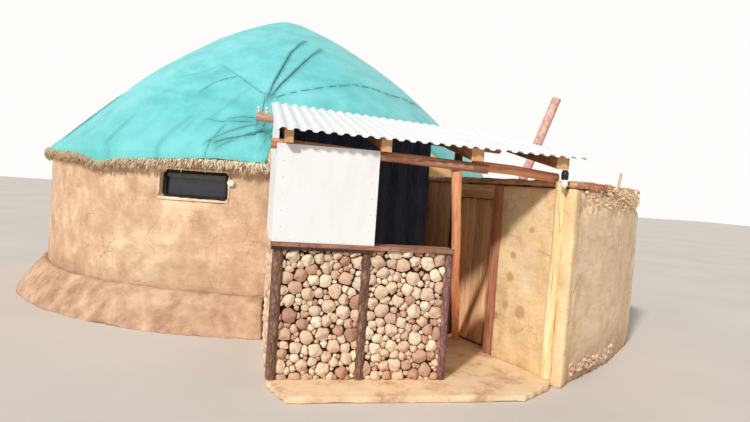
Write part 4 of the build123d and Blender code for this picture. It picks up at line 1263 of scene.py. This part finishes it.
def make_door():
    piece = Piece("plank_door")
    rng = random.Random(31)
    widths = (0.15, 0.12, 0.14, 0.11, 0.127)
    scale = (DOOR_X1 - DOOR_X0) / sum(widths)
    x = DOOR_X0
    for index, width in enumerate(widths):
        rise = rng.uniform(0.0, 0.006)
        plank(
            piece, beside(x + 0.0015, DOOR_BACK, 0.015 + rise), ALONG_SIDE * (width * scale - 0.003),
            OUT_SIDE * (DOOR_FACE - DOOR_BACK), UP * (1.530 - rise), 40.0 + index, rng.uniform(0.30, 0.85))
        x += width * scale
    for low in (0.180, 0.820, 1.330):
        plank(
            piece, beside(DOOR_X0 + 0.010, DOOR_BACK - 0.022, low), ALONG_SIDE * (DOOR_X1 - DOOR_X0 - 0.020),
            OUT_SIDE * 0.022, UP * 0.110, 50.0 + low, 0.4)
    piece.make(["door", "door"], "door_wood", "door_leaf", ["side_door"])

    nails = Piece("door_nails")
    for index in range(15):
        share = index / 14
        across = DOOR_X0 + 0.08 + (DOOR_X1 - DOOR_X0 - 0.16) * (1 - share)
        nail(nails, beside(across, DOOR_FACE, 0.33 + 1.02 * share + 0.006 * (index % 2)), OUT_SIDE, 0.0055)
    for low in (0.235, 0.875, 1.385):
        for index in range(10):
            across = DOOR_X0 + 0.04 + (DOOR_X1 - DOOR_X0 - 0.08) * index / 9
            nail(nails, beside(across, DOOR_FACE, low + (0.022 if index % 2 else -0.022)), OUT_SIDE, 0.0045)
    nails.make(["nail"], "iron", "door_leaf")

    straps = Piece("door_straps")
    knuckle = ((0.0060, 0.0), (0.0100, 0.001), (0.0100, 0.059), (0.0060, 0.060))
    for height in HINGE_HEIGHTS:
        plank(
            straps, beside(HINGE_X, HINGE_OUT + STRAP_THICK, height - STRAP_WIDE / 2), ALONG_SIDE * STRAP_LONG,
            OUT_SIDE * STRAP_THICK, UP * STRAP_WIDE, 60.0, rough=0.0003)
        lathe(straps, beside(HINGE_X, HINGE_OUT, height - 0.030), UP, knuckle, 20)
    straps.make(["iron"], "iron", "door_leaf")


def make_boards():
    """Boards beside the door towards the yurt, and the boards over the door."""
    piece = Piece("door_boards")
    rng = random.Random(33)
    x, end = 1.665, 2.480
    while x < end - 0.02:
        width = min(rng.uniform(0.11, 0.16), end - x)
        plank(
            piece, beside(x + 0.002, -0.0795), ALONG_SIDE * (width - 0.004), OUT_SIDE * 0.035, UP * 1.700,
            70.0 + x, rng.uniform(0.4, 0.8))
        x += width
    for index, (z0, z1) in enumerate(((1.557, 1.628), (1.630, 1.699))):
        plank(
            piece, beside(0.917, -0.153, z0), OUT_SIDE * 0.151, UP * (z1 - z0), ALONG_SIDE * 0.655, 80.0 + index,
            0.4 + 0.2 * index)
    piece.make(["door", "cut"], "door_wood", replaces=["boards_by_door"])


make_logs()
make_rafters()
make_door()
make_boards()

# ---- dark cloth hung inside the porch, as painted shade ----
CLOTH_X0, CLOTH_X1, CLOTH_FOOT, CLOTH_Y = 0.020, 1.700, 0.060, 1.478
CLOTH_COLUMNS, CLOTH_ROWS, CLOTH_THICK = 200, 30, 0.0015


def make_porch_shade_cloth():
    """Dark cloth that hangs in folds from the rear beam, before the yurt's front, as painted shade of the porch's dark
    inside, and its area.
    """
    points, faces = [], []
    for side in (0, 1):
        for row in range(CLOTH_ROWS + 1):
            level = row / CLOTH_ROWS
            loose = 0.25 + 0.75 * step_up(level, 0.0, 0.25)
            for column in range(CLOTH_COLUMNS + 1):
                x = CLOTH_X0 + (CLOTH_X1 - CLOTH_X0) * column / CLOTH_COLUMNS
                top = roof_level(x, 1.505) - 0.118
                z = top + (CLOTH_FOOT - top) * level + 0.006 * ripple(x * 5.0, 2.0) * level
                fold = 0.020 * sin(x * 31.0 + 1.6 * ripple(x * 2.0, level * 1.4, 4.0))
                fold += 0.012 * ripple(x * 7.0, level * 1.2, 1.0)
                points.append(at(x, CLOTH_Y + side * CLOTH_THICK + fold * loose, z))
    count = CLOTH_COLUMNS + 1
    layer = count * (CLOTH_ROWS + 1)
    for row in range(CLOTH_ROWS):
        for column in range(CLOTH_COLUMNS):
            a = row * count + column
            faces.append((a, a + 1, a + 1 + count, a + count))
            faces.append((layer + a + count, layer + a + count + 1, layer + a + 1, layer + a))
    for row in range(CLOTH_ROWS):
        for a in (row * count, row * count + CLOTH_COLUMNS):
            faces.append((a, a + count, a + count + layer, a + layer))
    for column in range(CLOTH_COLUMNS):
        for a in (column, CLOTH_ROWS * count + column):
            faces.append((a, a + 1, a + 1 + layer, a + layer))
    mesh = new_mesh("porch_shade_cloth", points, faces, ["navy"])
    area = sum(polygon.area for polygon in list(mesh.polygons)[:2 * CLOTH_ROWS * CLOTH_COLUMNS]) / 2
    return add_object("porch_shade_cloth", mesh, sharp=60.0), area


porch_shade_cloth, cloth_area = make_porch_shade_cloth()

# ---- panels and roof screws ----
PANEL_X0, PANEL_X1, PANEL_Z0, PANEL_Z1 = -0.012, 0.816, 1.115, 1.890
PANEL_FACE = LOG_Y - 0.046


def make_side_cladding():
    """Ribbed white sheet on the porch's left side."""
    piece = Piece("side_cladding")
    ribs, length = 10, 1.600
    step = length / ribs
    front = [
        (rib / ribs * length + share * step, -0.002 - out) for rib in range(ribs)
        for share, out in ((0.0, 0.0), (0.25, 0.0), (0.38, 0.009), (0.75, 0.009), (0.88, 0.0))]
    front.append((length, -0.002))
    outline = front + [(y, out + 0.0012) for y, out in reversed(front)]
    piece.loft([
        [at(out, y, COBBLE_TOP + (roof_level(-0.007, y) - 0.002 - COBBLE_TOP) * level / 4) for y, out in outline]
        for level in range(5)])
    piece.make(["white"], "white_sheet", replaces=["side_panel"], sharp=25.0)


def make_front_panel():
    """White sheet nailed over the left half of the porch front, faintly bowed, with a board at its foot."""
    piece = Piece("front_sheet")
    columns, rows = 28, 24
    rings = []
    for row in range(rows + 1):
        up = row / rows
        z = PANEL_Z0 + (PANEL_Z1 - PANEL_Z0) * up
        ring = []
        for column in range(columns + 1):
            along = column / columns
            x = PANEL_X0 + (PANEL_X1 - PANEL_X0) * along
            inset = min(1.0, 4 * min(along, 1 - along), 4 * min(up, 1 - up))
            dent = 0.004 * inset * (ripple(x * 2.3, z * 2.3) + 0.5)
            ring.append(at(x, PANEL_FACE - 0.0075 - dent, z))
        ring += [at(x, PANEL_FACE - 0.0002, z) for x in (PANEL_X1, PANEL_X0)]
        rings.append(ring)
    piece.loft(rings)
    piece.make(["white"], "white_sheet", replaces=["front_panel"], sharp=30.0)

    nails = Piece("panel_nails")
    places = [
        (PANEL_X0 + 0.03 + (PANEL_X1 - PANEL_X0 - 0.06) * index / 7, PANEL_FACE - 0.0080, z)
        for z in (PANEL_Z0 + 0.020, PANEL_Z1 - 0.020) for index in range(8)]
    places += [(x, PANEL_FACE - 0.0085, PANEL_Z0 + 0.12 + 0.13 * index) for x in (0.050, 0.768) for index in range(5)]
    for place in places:
        nail(nails, at(*place), -BACK, 0.004)
    nails.make(["nail"], "iron")

    strip = Piece("panel_foot_board")
    plank(
        strip, at(PANEL_X0, PANEL_FACE - 0.010, 1.052), RIGHT * (PANEL_X1 - PANEL_X0 - 0.005), BACK * 0.012,
        UP * 0.064, 90.0)
    strip.make(["dark_board", "dark_board"], "timber")


def make_roof_screws():
    piece = Piece("roof_screws")
    screw = ((0.009, 0.0), (0.009, 0.002), (0.0055, 0.003), (0.0055, 0.007), (0.003, 0.0075))
    for y in (-0.080, 0.500, 1.060, REAR_Y):
        for number in range(1, ROOF_WAVES, 3):
            x = ROOF_X0 + (number + 0.65) * ROOF_PITCH
            lathe(piece, at(x, y, roof_level(x, y) + 0.0195), UP, screw, 12)
    piece.make(["white"], "roof_sheet")


make_side_cladding()
make_front_panel()
make_roof_screws()
skin("side_room_clay", ["side_room_roof"], 0.027, clay_move, "clay")

# ---- rubble and straw at the side room's wall ----
# Places on the side room's bowed front, at the porch, midway and at the far corner
ROOM_LINE = ((2.741, 0.068), (3.241, 0.432), (4.127, 1.242))
ROOM_LENGTH = 1.816
BRICK_LENGTHS = (0.225, 0.205)


def room_line(share):
    """Place on the side room's bowed front, and the way out from it, from the porch (0) to the far corner (1)."""
    (ax, ay), (bx, by), (cx, cy) = ROOM_LINE
    turn = 2 * (ax * (by - cy) + bx * (cy - ay) + cx * (ay - by))
    a2, b2, c2 = ax * ax + ay * ay, bx * bx + by * by, cx * cx + cy * cy
    mx = (a2 * (by - cy) + b2 * (cy - ay) + c2 * (ay - by)) / turn
    my = (a2 * (cx - bx) + b2 * (ax - cx) + c2 * (bx - ax)) / turn
    out = Vector((ax + (cx - ax) * share - mx, ay + (cy - ay) * share - my, 0)).normalized()
    return Vector((mx, my, 0)) + out * hypot(ax - mx, ay - my), out


def pebble(piece, centre, size, flat, seed, tone, kind):
    """Small angular stone."""
    rings = []
    for level in (-0.9, -0.55, 0.0, 0.5, 0.88):
        wide = sqrt(1 - level * level)
        ring = []
        for side in range(8):
            turn = 2 * pi * side / 8
            shake = 1 + 0.45 * ripple(cos(turn) * 1.6 + seed, sin(turn) * 1.6, level * 1.5)
            ring.append(centre + Vector((cos(turn) * wide, sin(turn) * wide, level * flat)) * size * shake)
        rings.append(ring)
    piece.loft(rings, None, tone, kind)


def make_room_rubble():
    """Bricks, stones and straw ends that show at the top of the side room's wall, and stones at its washed foot."""
    piece = Piece("wall_top_rubble")
    rng = random.Random(41)
    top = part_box("side_room_roof")[1][2] - ORIGIN.z
    share = -0.004
    for number, length in enumerate(BRICK_LENGTHS):
        place, out = room_line(share)
        ahead = Vector((-out.y, out.x, 0)) * (1 if out.y < 0 else -1)
        start = place - out * 0.105 + UP * (top - 0.062 - rng.uniform(0.0, 0.006)) + ORIGIN
        plank(
            piece, start, ahead * length, UP * 0.056, out * (0.114 + rng.uniform(0.0, 0.008)), 95.0 + number,
            cap=0, rough=0.003)
        share += (length + 0.012) / ROOM_LENGTH
    for _ in range(170):
        place, out = room_line(rng.uniform(0.01, 1.0))
        height = rng.triangular(top - 0.26, top - 0.012, top - 0.10)
        size = rng.uniform(0.008, 0.024)
        centre = place + out * rng.uniform(-0.9, -0.05) * size + UP * height + ORIGIN
        pebble(
            piece, centre, size, rng.uniform(0.45, 0.9), rng.uniform(0, 90), rng.random(),
            2 if rng.random() < 0.7 else 1)
    for _ in range(110):
        place, out = room_line(rng.triangular(0.0, 0.75, 0.1))
        size = rng.uniform(0.010, 0.034)
        height = max(rng.triangular(0.0, 0.15, 0.02), size * 0.6)
        centre = place - out * (0.012 + 0.035 * rng.random()) + UP * height + ORIGIN
        pebble(piece, centre, size, rng.uniform(0.55, 0.95), rng.uniform(0, 90), rng.random(), 1)
    piece.make(["brick", "stone", "room_wall"], "earth")

    straw = Piece("wall_top_straw")
    for _ in range(420):
        place, out = room_line(rng.uniform(0.02, 1.0))
        start = place - out * 0.006 + UP * rng.triangular(top - 0.24, top - 0.010, top - 0.06) + ORIGIN
        ahead = out * rng.uniform(0.2, 1.0)
        ahead = (ahead + Vector((rng.uniform(-1, 1), rng.uniform(-1, 1), rng.uniform(-1.0, 0.2)))).normalized()
        length, wide = rng.uniform(0.015, 0.050), rng.uniform(0.0012, 0.0026)
        strand(
            straw, start, ahead, ahead.orthogonal().normalized(), length, wide, ((0.0, 1.0), (1.0, 1.0)), rng,
            lambda: rng.uniform(0.4, 1.0))
    straw.make(["straw"], "straw")


make_room_rubble()

# ---- small fittings ----
LAMP = at(2.440, -0.070, 1.775)
WINDOW_FACE = 3.220  # radius at which the window's lip stands
LIP_ANGLES = (-25.9, -11.65)
BOX_RADIUS, BOX_HEIGHT, BOX_ANGLE = 3.211, 1.530, -101.25
SOCKET = (
    (0.020, -0.004), (0.030, 0.0), (0.031, 0.010), (0.027, 0.014), (0.031, 0.020), (0.031, 0.058), (0.026, 0.068),
    (0.022, 0.072), (0.022, 0.080))
BOX = (
    (0.034, 0.0), (0.036, 0.004), (0.036, 0.026), (0.0355, 0.028), (0.0375, 0.029), (0.0375, 0.040), (0.034, 0.0435),
    (0.010, 0.045))
KNOB = (
    (0.017, 0.0), (0.020, 0.004), (0.020, 0.020), (0.013, 0.027), (0.013, 0.040), (0.020, 0.047), (0.020, 0.058),
    (0.015, 0.066), (0.006, 0.070))


def make_lamp():
    socket = Piece("lamp_socket")
    lathe(socket, LAMP, UP, SOCKET)
    socket.make(["black"], "black_plastic", replaces=["lamp_holder"])
    globe = Piece("lamp_globe")
    rows = []
    for step in range(17):
        turn = pi * step / 16
        radius = 0.030 * sin(turn) ** 0.9 if step > 3 else 0.013 + 0.030 * sin(turn) * 0.5
        rows.append((max(0.0008, radius), 0.002 - 0.080 * (1 - cos(turn)) / 2))
    lathe(globe, LAMP, UP, rows, 28)
    globe.make(["bulb"], "bulb_glass", replaces=["lamp_bulb"])


def make_box():
    """Round junction box with two screws, on the wall beside the window."""
    piece = Piece("round_box")
    turn = radians(BOX_ANGLE)
    out = Vector((cos(turn), sin(turn), 0))
    centre = at(YURT_X, YURT_Y, BOX_HEIGHT) + out * BOX_RADIUS
    lathe(piece, centre, out, BOX, 36)
    for side in (-1, 1):
        screw = centre + out * 0.0445 + Vector((-out.y, out.x, 0)) * 0.022 * side
        lathe(piece, screw, out, ((0.004, -0.002), (0.004, 0.0008), (0.0022, 0.0014)), 10)
    piece.make(["white_plastic"], "white_plastic", replaces=["junction_box"])


def make_window_edge():
    """Rolled plaster lip round the window, and a board behind its head."""
    low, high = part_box("yurt_window_glass")
    sill, head = low[2] - ORIGIN.z - 0.042, high[2] - ORIGIN.z + 0.042
    left, right = LIP_ANGLES
    around = [(left, sill - 0.006), (right, sill - 0.006), (right, head + 0.004), (left, head + 0.004)]
    rings = []
    for (turn0, z0), (turn1, z1) in zip(around, around[1:] + around[:1]):
        steps = max(8, int(max(abs(turn1 - turn0) * 2.2, abs(z1 - z0) * 45)))
        for k in range(steps):
            turn = radians(turn0 + (turn1 - turn0) * k / steps)
            z = z0 + (z1 - z0) * k / steps
            out = Vector((sin(turn), -cos(turn), 0))
            size = (0.017 if z < sill else 0.011) * (1 + 0.6 * ripple(turn * 60, z * 30, 2.0))
            place = at(YURT_X, YURT_Y, z) + out * (WINDOW_FACE - 0.003)
            away = UP * (-1 if z < sill + 0.02 else 1 if z > head - 0.02 else 0)
            if not away.length:
                away = Vector((cos(turn), sin(turn), 0)) * (1 if turn1 > radians(-18) else -1)
            rings.append([place + (out * cos(a) + away * sin(a)) * size for a in (2 * pi * i / 8 for i in range(8))])
    rings.append(rings[0])
    rim = Piece("window_lip")
    rim.loft(rings, caps=False)
    rim.make(["lip"], "mud_plaster")

    board = Piece("window_top_board")
    rings = []
    for k in range(25):
        turn = radians(-25.0 + 12.5 * k / 24)
        out = Vector((sin(turn), -cos(turn), 0))
        corners = ((0.0, 0.085), (0.006, 0.085), (0.006, 0.036), (0.0, 0.036))
        rings.append([
            at(YURT_X, YURT_Y) + out * (WINDOW_FACE - 0.090 + depth) + UP * (head - down) for depth, down in corners])
    board.loft(rings)
    board.make(["grey_board"], "timber")


def make_knobs():
    piece = Piece("porcelain_knobs")
    for x in (-0.165, -0.085):
        lathe(piece, at(x, REAR_Y, under_rafters(x, REAR_DROP) + 0.041), UP, KNOB, 20)
    piece.make(["porcelain"], "porcelain", replaces=["insulators"])


make_lamp()
make_box()
make_window_edge()
make_knobs()
log_piece(
    "bent_stick", ["pale_stick", "cut"], "timber", "roof_stick",
    (at(3.870, 1.250, 1.765), at(3.897, 1.252, 1.945), 0.032, 12.0, dict(rough=0.06, bend=0.001)))

# ---- CAD nodes that stay, with their own finishes ----
NODE_LOOK = {
    "wall_plate": "hidden_wood", "crown_ring": "hidden_wood", "roof_poles": "hidden_wood",
    "side_room_poles": "hidden_wood", "yurt_frames": "frame", "yurt_window_glass": "glass",
    "window_sill_board": "sill", "porch_roof_sheet": "roof", "door_jamb": "jamb", "door_pintles": "iron",
    "stove_pipe": "rust",
}
for node_name, look in NODE_LOOK.items():
    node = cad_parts[node_name]
    if not node.data.materials:
        node.data.materials.append(None)
    for material_slot in node.material_slots:
        material_slot.material = LOOK[look]

# ---- floor, light, background ----
FLOOR_SIZE = 60.0
WORLD_LIGHT, WORLD_SEEN = 0.44, 1.0
SUN_POWER, SUN_ANGLE = 2.75, radians(5.0)
SUN_TOWARDS = Vector((-0.644, -0.765, 0.677))


def make_floor():
    corners = [(x * FLOOR_SIZE, y * FLOOR_SIZE, 0) for x, y in ((-1, -1), (1, -1), (1, 1), (-1, 1))]
    mesh = new_mesh("studio_floor", corners, [(0, 1, 2, 3)], [])
    floor = link("studio_floor", mesh)
    floor.location.z = -0.001
    s = Shader("studio_floor")
    tone = s.ramp(s.noise(0.4, 2.0), (0.3, rgb(214, 208, 202)), (0.7, rgb(222, 216, 210)))
    mesh.materials.append(s.done(tone, 0.9, specular=0.1))


def make_background():
    """Pale light from all round, seen as white by the camera and in reflections."""
    world = bpy.data.worlds.new("studio")
    bpy.context.scene.world = world
    world.use_nodes = True
    tree = world.node_tree
    background = tree.nodes["Background"]
    background.inputs["Color"].default_value = (1.0, 0.98, 0.96, 1.0)
    path = tree.nodes.new("ShaderNodeLightPath")
    seen = tree.nodes.new("ShaderNodeMath")
    seen.operation = "MAXIMUM"
    tree.links.new(path.outputs["Is Camera Ray"], seen.inputs[0])
    tree.links.new(path.outputs["Is Glossy Ray"], seen.inputs[1])
    strength = tree.nodes.new("ShaderNodeMapRange")
    strength.inputs["To Min"].default_value = WORLD_LIGHT
    strength.inputs["To Max"].default_value = WORLD_SEEN
    tree.links.new(seen.outputs[0], strength.inputs["Value"])
    tree.links.new(strength.outputs["Result"], background.inputs["Strength"])


def make_sun():
    data = bpy.data.lights.new("key", "SUN")
    data.energy = SUN_POWER
    data.angle = SUN_ANGLE
    data.color = (1.0, 0.965, 0.92)
    link("key", data).rotation_euler = SUN_TOWARDS.to_track_quat("Z", "Y").to_euler()


make_floor()
make_background()
make_sun()
bpy.context.scene.view_settings.view_transform = "Standard"
